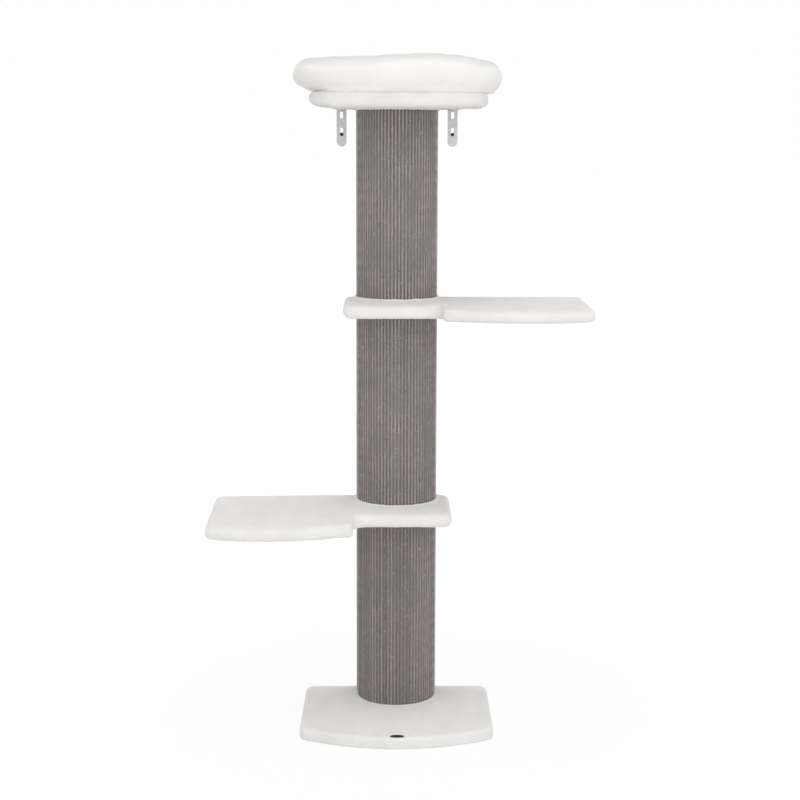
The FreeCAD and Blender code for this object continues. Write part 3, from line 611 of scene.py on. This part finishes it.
def keep_near(piece, node, most_at):
    """Pull back what stands further out of the CAD solid than most_at(place) allows."""
    surface = surface_of(frame["nodes"][node])

    def shift(place, normal):
        near, face_normal, _, gap = surface.find_nearest(place)
        if (place - near).dot(face_normal) < 0:
            return Vector()
        most = most_at(place)
        if gap <= most:
            return Vector()
        return (near - place) * (1 - most / gap)

    move_points(piece, shift)


def subdivide(piece):
    finer = piece.modifiers.new("finer", "SUBSURF")
    finer.levels = 1
    finer.render_levels = 1
    settle(piece)
    smooth(piece)


# How much higher or lower than its even round the filling of the bolster lies, from left to right.
FILLING = (
    (-0.24, 0.0), (-0.21, -1.5), (-0.186, -4.5), (-0.144, -2.7), (-0.10, -4.0), (-0.06, -3.5), (-0.02, 1.0),
    (0.01, 2.5), (0.05, 4.0), (0.08, 4.5), (0.11, 2.3), (0.135, 2.3), (0.163, -3.0), (0.19, -8.5),
    (0.205, -8.5), (0.22, -6.0), (0.24, 0.5),
)
SEAM_FILL = 2.0 * MM
WRINKLE_DEPTH = 1.6 * MM
CREASE_DEPTH = 0.6 * MM
LEFT_TUCK = 22 * MM
TUCK_HEIGHT = 26 * MM
RIGHT_DRAW = 2.5 * MM
SEAM_REACH = 4.5 * MM
SEAM_SAG = 1.5 * MM
SEAM_PRESS = 0.6 * MM
SAG_HEIGHT = 14 * MM


def lumps_across(x):
    for (left, first), (right, second) in zip(FILLING, FILLING[1:]):
        if left <= x <= right:
            share = ease_in((x - left) / (right - left))
            return (first + (second - first) * share) * MM
    return 0.0


def bolster(tray_piece):
    """The stuffed tube round the bed: plump, softly uneven on top, flat where it is sewn to the tray."""
    piece = soft_copy("bolster", "bed_bolster", STUFFED_VOXEL, 2)
    low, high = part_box("bed_bolster")
    tube = (high.z - low.z) / 2
    seat = bed_top + 2 * MM
    move_points(piece, lambda place, normal: normal * (-5 * MM if place.z > seat else 0))
    inflate(piece, lambda place: place.z < seat, pressure=4.0, most=12 * MM, slack=0.02)
    relax(piece, 12)
    subdivide(piece)
    middle_y = (low.y + high.y) / 2
    tray = surface_of(tray_piece)

    def shift(place, normal):
        share = ease_in((place.z - bed_top) / (2 * tube))
        front = ease_in((middle_y - place.y) / (middle_y - low.y))
        filling = lumps_across(place.x) * share * (0.4 + 0.6 * front)
        wrinkles = waves(place, 0.09, 11) * WRINKLE_DEPTH * share
        creases = waves(place, 0.028, 12) * CREASE_DEPTH * share
        low_side = math.exp(-(((place.z - bed_top - 3 * MM) / (6 * MM)) ** 2)) * (1 - abs(normal.z))
        tuck = ease_in((bed_top + TUCK_HEIGHT - place.z) / TUCK_HEIGHT) * ease_in((-place.x - 0.13) / 0.09)
        draw = LEFT_TUCK * tuck - RIGHT_DRAW * ease_in((place.x - 0.12) / 0.1)
        height = wrinkles + creases + pile(place, 13) * share + SEAM_FILL * low_side * (1 - tuck)
        sag = SEAM_SAG * ease_in((bed_top + SAG_HEIGHT - place.z) / SAG_HEIGHT)
        gap = tray.ray_cast(place, Vector((0, 0, -1)), SEAM_REACH)[3]
        if gap is not None:
            sag = gap + SEAM_PRESS
        return normal * height + Vector((draw, 0, filling + bed_lean(place) - sag))

    def most_out(place):
        if place.z < bed_top + 3 * MM:
            return SEAM_REACH + 1 * MM
        inside = abs(place.x) < high.x - 2 * tube + 20 * MM and low.y + tube < place.y < high.y - tube
        return 0.4 * MM if inside else 0.6 * MM + 7 * MM * ease_in((place.z - bed_top - 0.02) / (2 * tube))

    move_points(piece, shift)
    keep_near(piece, "bed_bolster", most_out)
    finish_piece(piece, "tree", "stuffed_plush", "bed_bolster")


def cushion():
    """The loose cushion: crowned, fullest at the seam that runs round it."""
    piece = soft_copy("cushion", "bed_cushion", STUFFED_VOXEL, 1)
    low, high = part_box("bed_cushion")
    thickness = high.z - low.z
    seam_z = low.z + 0.33 * thickness
    move_points(piece, lambda place, normal: normal * (-0.5 * MM if place.z > low.z + 2 * MM else 0))
    held = low.z + 1 * MM
    inflate(piece, lambda place: place.z < held, pressure=3.0, most=2.5 * MM, slack=0.06)
    subdivide(piece)

    def shift(place, normal):
        side = 1 - abs(normal.z)
        groove = -1.8 * MM * side * math.exp(-(((place.z - seam_z) / (2.5 * MM)) ** 2))
        share = ease_in((place.z - low.z) / thickness)
        folds = waves(place, 0.05, 21) * 1.2 * MM * share
        pucker = waves(Vector((place.x * 3, place.y * 3, 0)), 0.03, 22) * 0.8 * MM * side
        return normal * (groove + folds + pucker + pile(place, 23) * share)

    def most_out(place):
        return 0.2 * MM if place.z < high.z - 14 * MM else 4 * MM

    move_points(piece, shift)
    keep_near(piece, "bed_cushion", most_out)
    finish_piece(piece, "cushion", "stuffed_plush", "bed_cushion")


# -------------------- Geometry Nodes
class Grower:
    """A Geometry Nodes tree with named inputs."""

    def __init__(self, name, inputs):
        self.tree = bpy.data.node_groups.new(name, "GeometryNodeTree")
        self.tree.is_modifier = True
        interface = self.tree.interface
        interface.new_socket("Geometry", in_out="INPUT", socket_type="NodeSocketGeometry")
        interface.new_socket("Geometry", in_out="OUTPUT", socket_type="NodeSocketGeometry")
        for label, kind in inputs.items():
            interface.new_socket(label, in_out="INPUT", socket_type=f"NodeSocket{kind}")
        self.inputs = self.tree.nodes.new("NodeGroupInput").outputs
        self.output = self.tree.nodes.new("NodeGroupOutput").inputs["Geometry"]

    def add(self, kind, settings=None, **sockets):
        return add_node(self.tree, kind, settings, **sockets)

    def shape(self, kind, settings=None, **sockets):
        """The first output of a geometry node."""
        return self.add(f"GeometryNode{kind}", settings, **sockets).outputs[0]

    def math(self, operation, first, second=0.0):
        return self.add("ShaderNodeMath", {"operation": operation}, i0=first, i1=second).outputs[0]

    def vector(self, operation, first, second):
        return self.add("ShaderNodeVectorMath", {"operation": operation}, i0=first, i1=second).outputs[0]

    def combine(self, x=0.0, y=0.0, z=0.0):
        return self.add("ShaderNodeCombineXYZ", X=x, Y=y, Z=z).outputs[0]

    def moved(self, geometry, way, length):
        """Each point of a geometry moved this way, times a length."""
        offset = self.add("ShaderNodeVectorMath", {"operation": "SCALE"}, i0=way, Scale=length).outputs[0]
        return self.shape("SetPosition", Geometry=geometry, Offset=offset)

    def stored(self, geometry, domain, name, value):
        settings = {"data_type": "FLOAT", "domain": domain}
        return self.shape("StoreNamedAttribute", settings, Geometry=geometry, Name=name, Value=value)

    def noise(self, place, stretch, seed):
        squeezed = self.vector("MULTIPLY", place, stretch)
        return self.add("ShaderNodeTexNoise", {"noise_dimensions": "4D"}, Vector=squeezed, Scale=1.0, W=seed)

    def on_points(self, points, **sockets):
        return self.shape("InstanceOnPoints", Points=points, **sockets)

    def finish(self, geometry, material):
        """End the tree in Realize Instances and Set Material."""
        real = self.shape("RealizeInstances", Geometry=geometry)
        dressed = self.shape("SetMaterial", Geometry=real, Material=material)
        self.tree.links.new(dressed, self.output)
        return self.tree


def grown(piece, tree, values):
    """Turn a piece into the plain mesh that a tree makes from it and these named inputs."""
    modifier = piece.modifiers.new(tree.name, "NODES")
    modifier.node_group = tree
    for item in tree.interface.items_tree:
        if item.item_type == "SOCKET" and item.in_out == "INPUT" and item.name in values:
            modifier[item.identifier] = values[item.name]
    piece.update_tag()
    settle(piece)


# The sizes of the sisal that are the same on every post, and those that follow from the post.
RIB_SIZES = {
    "Rib Half Width": 3.7 * MM,
    "Row Length": 3.4 * MM,
    "Twist Length": 30 * MM,
    "Lobe Depth": 0.09,
    "Cloth Thickness": 2.2 * MM,
    "Wander": 1.1 * MM,
    "Slub Height": 0.9 * MM,
}
POST_SIZES = ("Rib Pitch", "Rib Rise", "Post Height", "Darkest Tone")


def rib_tree():
    """Sisal ribs that stand side by side along a path, on a thin cloth that follows it."""
    inputs = {name: "Float" for name in (*RIB_SIZES, *POST_SIZES)}
    grower = Grower("sisal_ribs", {**inputs, "Seed": "Int", "Material": "Material"})
    value = grower.inputs
    height = value["Post Height"]
    seed = value["Seed"]

    # one yarn of unit section, its three strands twisted round each other
    rise = grower.shape("CurvePrimitiveLine", End=grower.combine(z=height))
    rows = grower.math("DIVIDE", height, value["Row Length"])
    rise = grower.shape("ResampleCurve", Curve=rise, Count=rows)
    section = grower.shape("CurvePrimitiveCircle", Resolution=10, Radius=1.0)
    yarn = grower.shape("CurveToMesh", Curve=rise, Profile_Curve=section, Fill_Caps=True)
    place = grower.shape("InputPosition")
    parts = grower.add("ShaderNodeSeparateXYZ", Vector=place).outputs
    angle = grower.math("ARCTAN2", parts["Y"], parts["X"])
    turn = grower.math("MULTIPLY", grower.math("DIVIDE", parts["Z"], value["Twist Length"]), math.tau)
    # how near the crest a point lies, stored as "rib" for the painted highlight of the sisal material
    crest = grower.add("ShaderNodeMath", {"operation": "MULTIPLY", "use_clamp": True}, i0=parts["Y"], i1=-1.0)
    yarn = grower.stored(yarn, "POINT", "rib", crest.outputs[0])
    strand = grower.math("COSINE", grower.math("ADD", grower.math("MULTIPLY", angle, 3.0), turn))
    swell = grower.math("MULTIPLY", strand, value["Lobe Depth"])
    yarn = grower.moved(yarn, grower.combine(x=parts["X"], y=parts["Y"]), swell)
    oval = grower.combine(value["Rib Half Width"], value["Rib Rise"], 1.0)
    yarn = grower.shape("Transform", Geometry=yarn, Scale=oval)

    # one yarn at each pitch of the path, turned to face out of it
    path = grower.shape("MeshToCurve", Mesh=value["Geometry"])
    spots = grower.add("GeometryNodeCurveToPoints", {"mode": "LENGTH"}, Curve=path, Length=value["Rib Pitch"])
    upright = {"axis": "X", "pivot_axis": "Z"}
    facing = grower.add("FunctionNodeAlignRotationToVector", upright, Vector=spots.outputs["Tangent"])
    ribs = grower.on_points(spots.outputs[0], Instance=yarn, Rotation=facing.outputs[0])
    darkest = value["Darkest Tone"]
    tone = grower.add("FunctionNodeRandomValue", {"data_type": "FLOAT"}, i2=0.0, i3=darkest, Seed=seed)
    ribs = grower.stored(ribs, "INSTANCE", "rib_tone", tone.outputs[1])
    ribs = grower.shape("RealizeInstances", Geometry=ribs)

    # the yarns wander a little and have slubs
    drift = grower.noise(place, (90.0, 90.0, 9.0), seed).outputs["Color"]
    level = grower.vector("MULTIPLY", grower.vector("SUBTRACT", drift, (0.5, 0.5, 0.5)), (1.0, 1.0, 0.0))
    ribs = grower.moved(ribs, level, value["Wander"])
    knots = grower.noise(place, (150.0, 150.0, 75.0), seed).outputs["Fac"]
    eased = {"interpolation_type": "SMOOTHSTEP"}
    slub = grower.add("ShaderNodeMapRange", eased, Value=knots, From_Min=0.6, From_Max=0.78).outputs[0]
    bulge = grower.math("MULTIPLY", slub, value["Slub Height"])
    ribs = grower.moved(ribs, grower.shape("InputNormal"), bulge)

    # the cloth behind the ribs
    thick = value["Cloth Thickness"]
    way = grower.shape("SetCurveNormal", {"mode": "Z_UP"}, Curve=path)
    strip = grower.shape("CurvePrimitiveQuadrilateral", Width=thick, Height=height)
    cloth = grower.shape("CurveToMesh", Curve=way, Profile_Curve=strip, Fill_Caps=True)
    middle = grower.combine(z=grower.math("MULTIPLY", height, 0.5))
    cloth = grower.shape("Transform", Geometry=cloth, Translation=middle)
    whole = grower.add("GeometryNodeJoinGeometry", Geometry=cloth)
    grower.tree.links.new(ribs, whole.inputs[0])
    return grower.finish(whole.outputs[0], value["Material"])


def scatter_tree():
    """A copy of one object at each point of a mesh."""
    grower = Grower("fitted_at_points", {"Fitting": "Object", "Material": "Material"})
    fitting = grower.add("GeometryNodeObjectInfo", Object=grower.inputs["Fitting"]).outputs["Geometry"]
    copies = grower.on_points(grower.inputs["Geometry"], Instance=fitting)
    return grower.finish(copies, grower.inputs["Material"])


def scattered(name, fitting, places, material):
    """One mesh made of a fitting at each place; the fitting itself is removed."""
    piece = new_piece(name, drawn_mesh(name, places, []))
    grown(piece, SCATTER, {"Fitting": fitting, "Material": material})
    bpy.data.objects.remove(fitting)
    return piece


RIBS = rib_tree()
SCATTER = scatter_tree()

# -------------------- posts
PATH_STEP = 2.5 * MM
RIB_COUNT = 45
RIB_CLEARANCE = 0.3 * MM


def post_path(name, radius, z):
    """The D-shaped line round the front of a post, from the back panel on the left to that on the right."""
    straight = sisal_arc_depth - panel_front_depth
    runs = max(2, round(straight / PATH_STEP))
    turns = round(math.pi * radius / PATH_STEP)
    side = [(radius, panel_front_depth + straight * step / runs) for step in range(runs)]
    left = [Vector((-x, out(depth), z)) for x, depth in side]
    right = [Vector((x, out(depth), z)) for x, depth in side]
    bend = []
    for step in range(turns + 1):
        angle = math.pi * step / turns
        bend.append(Vector((-radius * math.cos(angle), out(sisal_arc_depth + radius * math.sin(angle)), z)))
    points = left + bend + right[::-1]
    mesh = bpy.data.meshes.new(name)
    mesh.from_pydata(points, [(index, index + 1) for index in range(len(points) - 1)], [])
    length = sum((b - a).length for a, b in zip(points, points[1:]))
    return new_piece(name, mesh), length


def post_sisal(post, darkest, seed):
    low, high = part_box(f"{post}_sisal")
    radius = sisal_inner_radius + RIB_SIZES["Cloth Thickness"] / 2
    piece, length = post_path(f"{post}_sisal_cloth", radius, low.z)
    sizes = (length / RIB_COUNT, sisal_radius - radius - RIB_CLEARANCE, high.z - low.z, darkest)
    values = {**RIB_SIZES, **dict(zip(POST_SIZES, sizes)), "Seed": seed, "Material": MATERIALS["sisal"]}
    grown(piece, RIBS, values)
    smooth(piece)
    finish_piece(piece, "tree", "sisal", f"{post}_sisal")


def back_cloth(post, seed):
    """The cloth folded round a back panel, with soft folds at its edges."""
    low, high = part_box(f"{post}_back_cover")
    panel_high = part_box(f"{post}_back_panel")[1]
    thick = high.x - panel_high.x
    depth = high.y - low.y
    lip = sisal_radius + 0.1 * MM
    fold = 1.2 * MM
    outline = [(-lip, depth)]
    for x, deep, start in ((-high.x, depth, 90), (-high.x, 0, 180), (high.x, 0, 270), (high.x, depth, 0)):
        outline += rounded((x, deep), fold, start)
    outline += [(lip, depth), (lip, depth - thick), (panel_high.x, depth - thick), (panel_high.x, thick)]
    outline += [(-panel_high.x, thick), (-panel_high.x, depth - thick), (-lip, depth - thick)]
    rows = 60
    points = []
    for row in range(rows + 1):
        z = low.z + (high.z - low.z) * row / rows
        for x, deep in outline:
            place = Vector((x, out(deep), z))
            slack = waves(place, 0.05, seed) * 0.25 * MM
            outer = abs(x) > panel_high.x + 0.1 * MM
            points.append(place + Vector((math.copysign(max(0.0, slack), x) * outer, 0, 0)))
    piece = new_piece(f"{post}_back_cloth", drawn_mesh(post, points, tube_faces(len(outline), rows)))
    edit(piece, face_outward)
    finish_piece(piece, "tree", "back_cloth", f"{post}_back_cover")


def rounded(corner, radius, start):
    """The points of a rounded corner of an outline given as (across, depth)."""
    signs = {90: (1, -1), 180: (1, 1), 270: (-1, 1), 0: (-1, -1)}[start]
    centre = (corner[0] + signs[0] * radius, corner[1] + signs[1] * radius)
    points = []
    for step in range(4):
        angle = math.radians(start + 30 * step)
        points.append((centre[0] + radius * math.cos(angle), centre[1] + radius * math.sin(angle)))
    return points


def tube_faces(count, rows):
    """The faces of a closed outline raised in rows, with its two ends."""
    faces = []
    for row in range(rows):
        first = row * count
        for index in range(count):
            ahead = (index + 1) % count
            faces.append((first + index, first + ahead, first + count + ahead, first + count + index))
    faces.append(tuple(range(count))[::-1])
    faces.append(tuple(rows * count + index for index in range(count)))
    return faces


# -------------------- fittings
def turned(name, profile, sides):
    """A turned piece from (radius, height) points; a radius of 0 closes it in one point."""
    points = []
    faces = []
    rings = []
    for radius, height in profile:
        if radius == 0:
            rings.append([len(points)])
            points.append(Vector((0, 0, height)))
            continue
        ring = []
        for side in range(sides):
            angle = math.tau * side / sides
            ring.append(len(points))
            points.append(Vector((radius * math.cos(angle), radius * math.sin(angle), height)))
        rings.append(ring)
    for ring, above in zip(rings, rings[1:]):
        for side in range(sides):
            ahead = (side + 1) % sides
            if len(ring) == 1:
                faces.append((ring[0], above[ahead], above[side]))
            elif len(above) == 1:
                faces.append((ring[side], ring[ahead], above[0]))
            else:
                faces.append((ring[side], ring[ahead], above[ahead], above[side]))
    piece = new_piece(name, drawn_mesh(name, points, faces))
    edit(piece, face_outward)
    smooth(piece)
    return piece


def felt_pads():
    """Felt discs with soft rims, one at each foot pad of the base."""
    places = disc_centres(frame["nodes"]["base_foot_pads"])
    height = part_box("base_foot_pads")[1].z
    radius = 15 * MM
    rim = 0.8 * MM
    profile = [(0, 0), (radius * 0.5, 0), (radius - rim, 0), (radius - 0.2 * MM, 0.35 * MM), (radius, 1 * MM)]
    profile += [(radius, height - 0.4 * MM), (radius - 0.3 * MM, height), (radius * 0.5, height), (0, height)]
    disc = turned("felt_disc", profile, 48)
    piece = scattered("felt_pads", disc, places, MATERIALS["felt"])
    finish_piece(piece, "tree", "felt", "base_foot_pads")


def disc_centres(node):
    """The plan centres of the separate discs of a CAD node, at floor height."""
    work = bmesh.new()
    work.from_mesh(node.data)
    bmesh.ops.remove_doubles(work, verts=work.verts, dist=SAME_PLACE)
    left = set(work.verts)
    centres = []
    while left:
        island = [left.pop()]
        for point in island:
            for edge in point.link_edges:
                other = edge.other_vert(point)
                if other in left:
                    left.remove(other)
                    island.append(other)
        across = [point.co.x for point in island]
        along = [point.co.y for point in island]
        centres.append(Vector(((min(across) + max(across)) / 2, (min(along) + max(along)) / 2, 0)))
    work.free()
    return sorted(centres, key=lambda centre: (round(centre.x, 4), round(centre.y, 4)))


def blank_plate():
    """The small dark oval plate, left blank: a low rim round a shallow field."""
    low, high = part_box("name_plate")
    centre = (low + high) / 2
    half = (high - low) / 2
    profile = [(0, 0), (0.97, 0), (1, 0.15), (1, 0.75), (0.97, 1), (0.9, 1), (0.86, 0.72), (0, 0.72)]
    piece = turned("blank_plate", profile, 72)
    spread = Matrix.Diagonal((half.x, half.y, high.z - low.z, 1))
    piece.data.transform(Matrix.Translation((centre.x, centre.y, low.z)) @ spread)
    finish_piece(piece, "tree", "dark_plate", "name_plate")


HEAD_RADIUS = 4.2 * MM
HEAD_HEIGHT = 2.8 * MM
THREAD_HEIGHT = 0.5 * MM
BRACKET_THICKNESS = 2.5 * MM


def cross_cutter(name):
    """Two tapered blades crossed, to sink a driver's recess into a head."""
    depth = 1.7 * MM
    wide, thin = 2.3 * MM, 0.55 * MM
    points, faces = [], []
    for along, across in ((wide, thin), (thin, wide)):
        first = len(points)
        for z, share in ((-HEAD_HEIGHT - 0.4 * MM, 1.0), (-HEAD_HEIGHT + depth, 0.45)):
            for x, y in ((-1, -1), (1, -1), (1, 1), (-1, 1)):
                points.append((x * along * share, y * across * share, z))
        for quad in ((0, 3, 2, 1), (4, 5, 6, 7), (0, 1, 5, 4), (1, 2, 6, 5), (2, 3, 7, 6), (3, 0, 4, 7)):
            faces.append(tuple(first + index for index in quad))
    return new_piece(name, drawn_mesh(name, points, faces))


def threaded_screw(name, radius, neck, grip, point, pitch):
    """A pan-head screw that points along +Z, with a cross recess, a smooth neck and a real thread."""
    core = radius - THREAD_HEIGHT
    neck_radius = radius - 0.25 * MM
    flat = 0.45 * HEAD_RADIUS
    profile = [(0, -HEAD_HEIGHT), (flat, -HEAD_HEIGHT)]
    for step in range(1, 7):
        angle = math.radians(90 - 15 * step)
        x = flat + (HEAD_RADIUS - flat) * math.cos(angle)
        profile.append((x, -0.35 * HEAD_HEIGHT - 0.65 * HEAD_HEIGHT * math.sin(angle)))
    profile += [(HEAD_RADIUS, -0.08 * HEAD_HEIGHT), (HEAD_RADIUS - 0.15 * MM, 0), (neck_radius, 0)]
    profile += [(neck_radius, neck - 0.3 * MM), (core, neck), (core, grip - point), (0, grip)]
    screw = turned(name, profile, 40)
    cutter = cross_cutter(f"{name}_recess")
    recess = screw.modifiers.new("recess", "BOOLEAN")
    recess.operation = "DIFFERENCE"
    recess.solver = "EXACT"
    recess.use_self = True
    recess.object = cutter
    settle(screw)
    bpy.data.objects.remove(cutter)
    thread = thread_ridge(core, radius, neck, grip - point * 0.4, pitch)
    join_mesh(screw, thread)
    return screw


def thread_ridge(core, crest, start, end, pitch):
    """The helical ridge of a thread as a closed triangular bar that fades out at both ends."""
    per_turn = 20
    steps = round((end - start) / pitch * per_turn)
    root_radius = core - 0.1 * MM
    points = []
    for step in range(steps + 1):
        angle = math.tau * step / per_turn
        z = start + (end - start) * step / steps
        fade = min(1.0, 8 * step / steps, 8 * (steps - step) / steps)
        tip = root_radius + (crest - root_radius) * fade
        for radius, shift in ((root_radius, -0.3 * pitch), (tip, 0), (root_radius, 0.3 * pitch)):
            points.append((radius * math.cos(angle), radius * math.sin(angle), z + shift * max(fade, 0.2)))
    return drawn_mesh("thread", points, tube_faces(3, steps))


def join_mesh(piece, mesh):
    """Add another closed mesh to a piece."""
    def add(work):
        work.from_mesh(mesh)
        face_outward(work)

    edit(piece, add)
    bpy.data.meshes.remove(mesh)


def bracket_middle():
    low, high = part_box("right_wall_bracket")
    return (low.x + high.x) / 2


def wall_screws():
    """The two screws that hold the brackets to the wall, both at one height."""
    low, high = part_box("wall_screws")
    head_y = out(BRACKET_THICKNESS)
    neck = BRACKET_THICKNESS + 1.5 * MM
    grip = high.y - head_y
    screw = threaded_screw("wall_screw", 2.25 * MM, neck, grip, point=6 * MM, pitch=1.8 * MM)
    screw.data.transform(Matrix.Rotation(math.radians(-90), 4, "X"))
    z = (low.z + high.z) / 2
    places = [Vector((side * bracket_middle(), head_y, z)) for side in (-1, 1)]
    piece = scattered("wall_screw_pair", screw, places, MATERIALS["black_steel"])
    finish_piece(piece, "wall_fixings", "black_steel", "wall_screws")


def shelf_screws():
    """The four screws that hold the bracket shelves under the bed."""
    low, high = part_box("bracket_screws")
    underside = bed_bottom - BRACKET_THICKNESS
    grip = high.z - underside
    screw = threaded_screw("shelf_screw", 2 * MM, BRACKET_THICKNESS, grip, point=4 * MM, pitch=1.4 * MM)
    rows = (high.y - HEAD_RADIUS, low.y + HEAD_RADIUS)
    places = [Vector((side * bracket_middle(), y, underside)) for side in (-1, 1) for y in rows]
    piece = scattered("shelf_screws", screw, places, MATERIALS["zinc_steel"])
    finish_piece(piece, "tree", "zinc_steel", "bracket_screws")


# -------------------- camera, light and floor
EYE_ACROSS = -0.0361
EYE_DISTANCE = 4.1169
EYE_HEIGHT = 1.3897
EYE_LENS = 75.70


def camera():
    """The photograph's viewpoint: a long lens near the height of the bed, looking slightly down."""
    down_angle, side_angle, roll = 0.1506, 0.0109, -0.0026
    forward = Vector((
        math.sin(side_angle) * math.cos(down_angle),
        math.cos(side_angle) * math.cos(down_angle),
        -math.sin(down_angle),
    ))
    right = Vector((math.cos(side_angle), -math.sin(side_angle), 0))
    down = forward.cross(right)
    level_right = right * math.cos(roll) + down * math.sin(roll)
    level_down = down * math.cos(roll) - right * math.sin(roll)
    data = bpy.data.cameras.new("camera")
    data.lens = EYE_LENS
    data.sensor_width = 36
    eye = new_piece("camera", data)
    turn = Matrix((level_right, -level_down, -forward)).transposed()
    eye.matrix_world = Matrix.Translation((EYE_ACROSS, out(EYE_DISTANCE), EYE_HEIGHT)) @ turn.to_4x4()
    bpy.context.scene.camera = eye


WHITE = (1, 1, 1, 1)
SURROUND = 0.72


def area_light(name, place, target, size, power):
    data = bpy.data.lights.new(name, "AREA")
    data.shape = "RECTANGLE"
    data.size = size
    data.size_y = size
    data.energy = power
    lamp = new_piece(name, data)
    lamp.location = place
    lamp.rotation_mode = "QUATERNION"
    lamp.rotation_quaternion = (Vector(target) - Vector(place)).to_track_quat("-Z", "Y")


def lights():
    """A soft key from the front right, a soft light from above and a plain pale surround."""
    area_light("key", (0.9, -3.6, 1.9), (0, 0, 0.9), size=2.6, power=33)
    area_light("top", (-0.8, -2.0, 8.0), (0, 0, 0.6), size=5.0, power=80)
    world = bpy.data.worlds.new("surround")
    bpy.context.scene.world = world
    world.use_nodes = True
    tree = world.node_tree
    plain = tree.nodes["Background"]
    plain.inputs["Color"].default_value = WHITE
    plain.inputs["Strength"].default_value = SURROUND
    seen = add_node(tree, "ShaderNodeBackground", Color=WHITE, Strength=1.0)
    mix = add_node(tree, "ShaderNodeMixShader", i0=seen_rays(tree), i1=plain.outputs[0], i2=seen.outputs[0])
    tree.links.new(mix.outputs[0], tree.nodes["World Output"].inputs["Surface"])


def seen_rays(tree):
    """1 for the rays that show the background, straight, mirrored or through something clear."""
    path = tree.nodes.new("ShaderNodeLightPath")
    total = path.outputs["Is Camera Ray"]
    for ray in ("Is Glossy Ray", "Is Transmission Ray"):
        either = {"operation": "MAXIMUM"}
        total = add_node(tree, "ShaderNodeMath", either, i0=total, i1=path.outputs[ray]).outputs[0]
    return total


def floor():
    """A plain pale floor that keeps a faint shadow near the base and fades into the surround."""
    half = 60.0
    corners = [(-half, -half, 0), (half, -half, 0), (half, half, 0), (-half, half, 0)]
    piece = new_piece("floor", drawn_mesh("floor", corners, [(0, 1, 2, 3)]))
    material = bpy.data.materials.new("floor_paint")
    material.use_nodes = True
    tree = material.node_tree
    tree.nodes.clear()
    matt = add_node(tree, "ShaderNodeBsdfDiffuse", Color=(0.86, 0.86, 0.86, 1))
    glow = add_node(tree, "ShaderNodeEmission", Color=WHITE, Strength=1.06)
    clear = add_node(tree, "ShaderNodeBsdfTransparent")
    places = add_node(tree, "ShaderNodeTexCoord").outputs["Object"]
    away = add_node(tree, "ShaderNodeVectorMath", {"operation": "LENGTH"}, i0=places).outputs["Value"]
    fading = {"From_Min": 0.5, "From_Max": 2.2, "To_Min": 0.8, "To_Max": 1.0}
    fade = add_node(tree, "ShaderNodeMapRange", Value=away, **fading).outputs["Result"]
    share = add_node(tree, "ShaderNodeMath", {"operation": "MULTIPLY"}, i0=fade, i1=seen_rays(tree))
    lit = add_node(tree, "ShaderNodeMixShader", i0=share.outputs[0], i1=matt.outputs[0], i2=glow.outputs[0])
    below = add_node(tree, "ShaderNodeNewGeometry").outputs["Backfacing"]
    sided = add_node(tree, "ShaderNodeMixShader", i0=below, i1=lit.outputs[0], i2=clear.outputs[0])
    add_node(tree, "ShaderNodeOutputMaterial", Surface=sided.outputs[0])
    piece.data.materials.append(material)


# -------------------- the whole tree
bpy.context.scene.view_settings.view_transform = "Standard"
camera()
lights()
floor()
dress_cad_nodes()

base_plush()
for seed, (platform, looks) in enumerate(PLATFORMS.items(), start=31):
    platform_plush(platform, seed, **looks)
bolster(tray_plush())
cushion()
for seed, (post, darkest) in enumerate(POSTS.items(), start=41):
    post_sisal(post, darkest, seed)
    back_cloth(post, seed)
felt_pads()
blank_plate()
wall_screws()
shelf_screws()
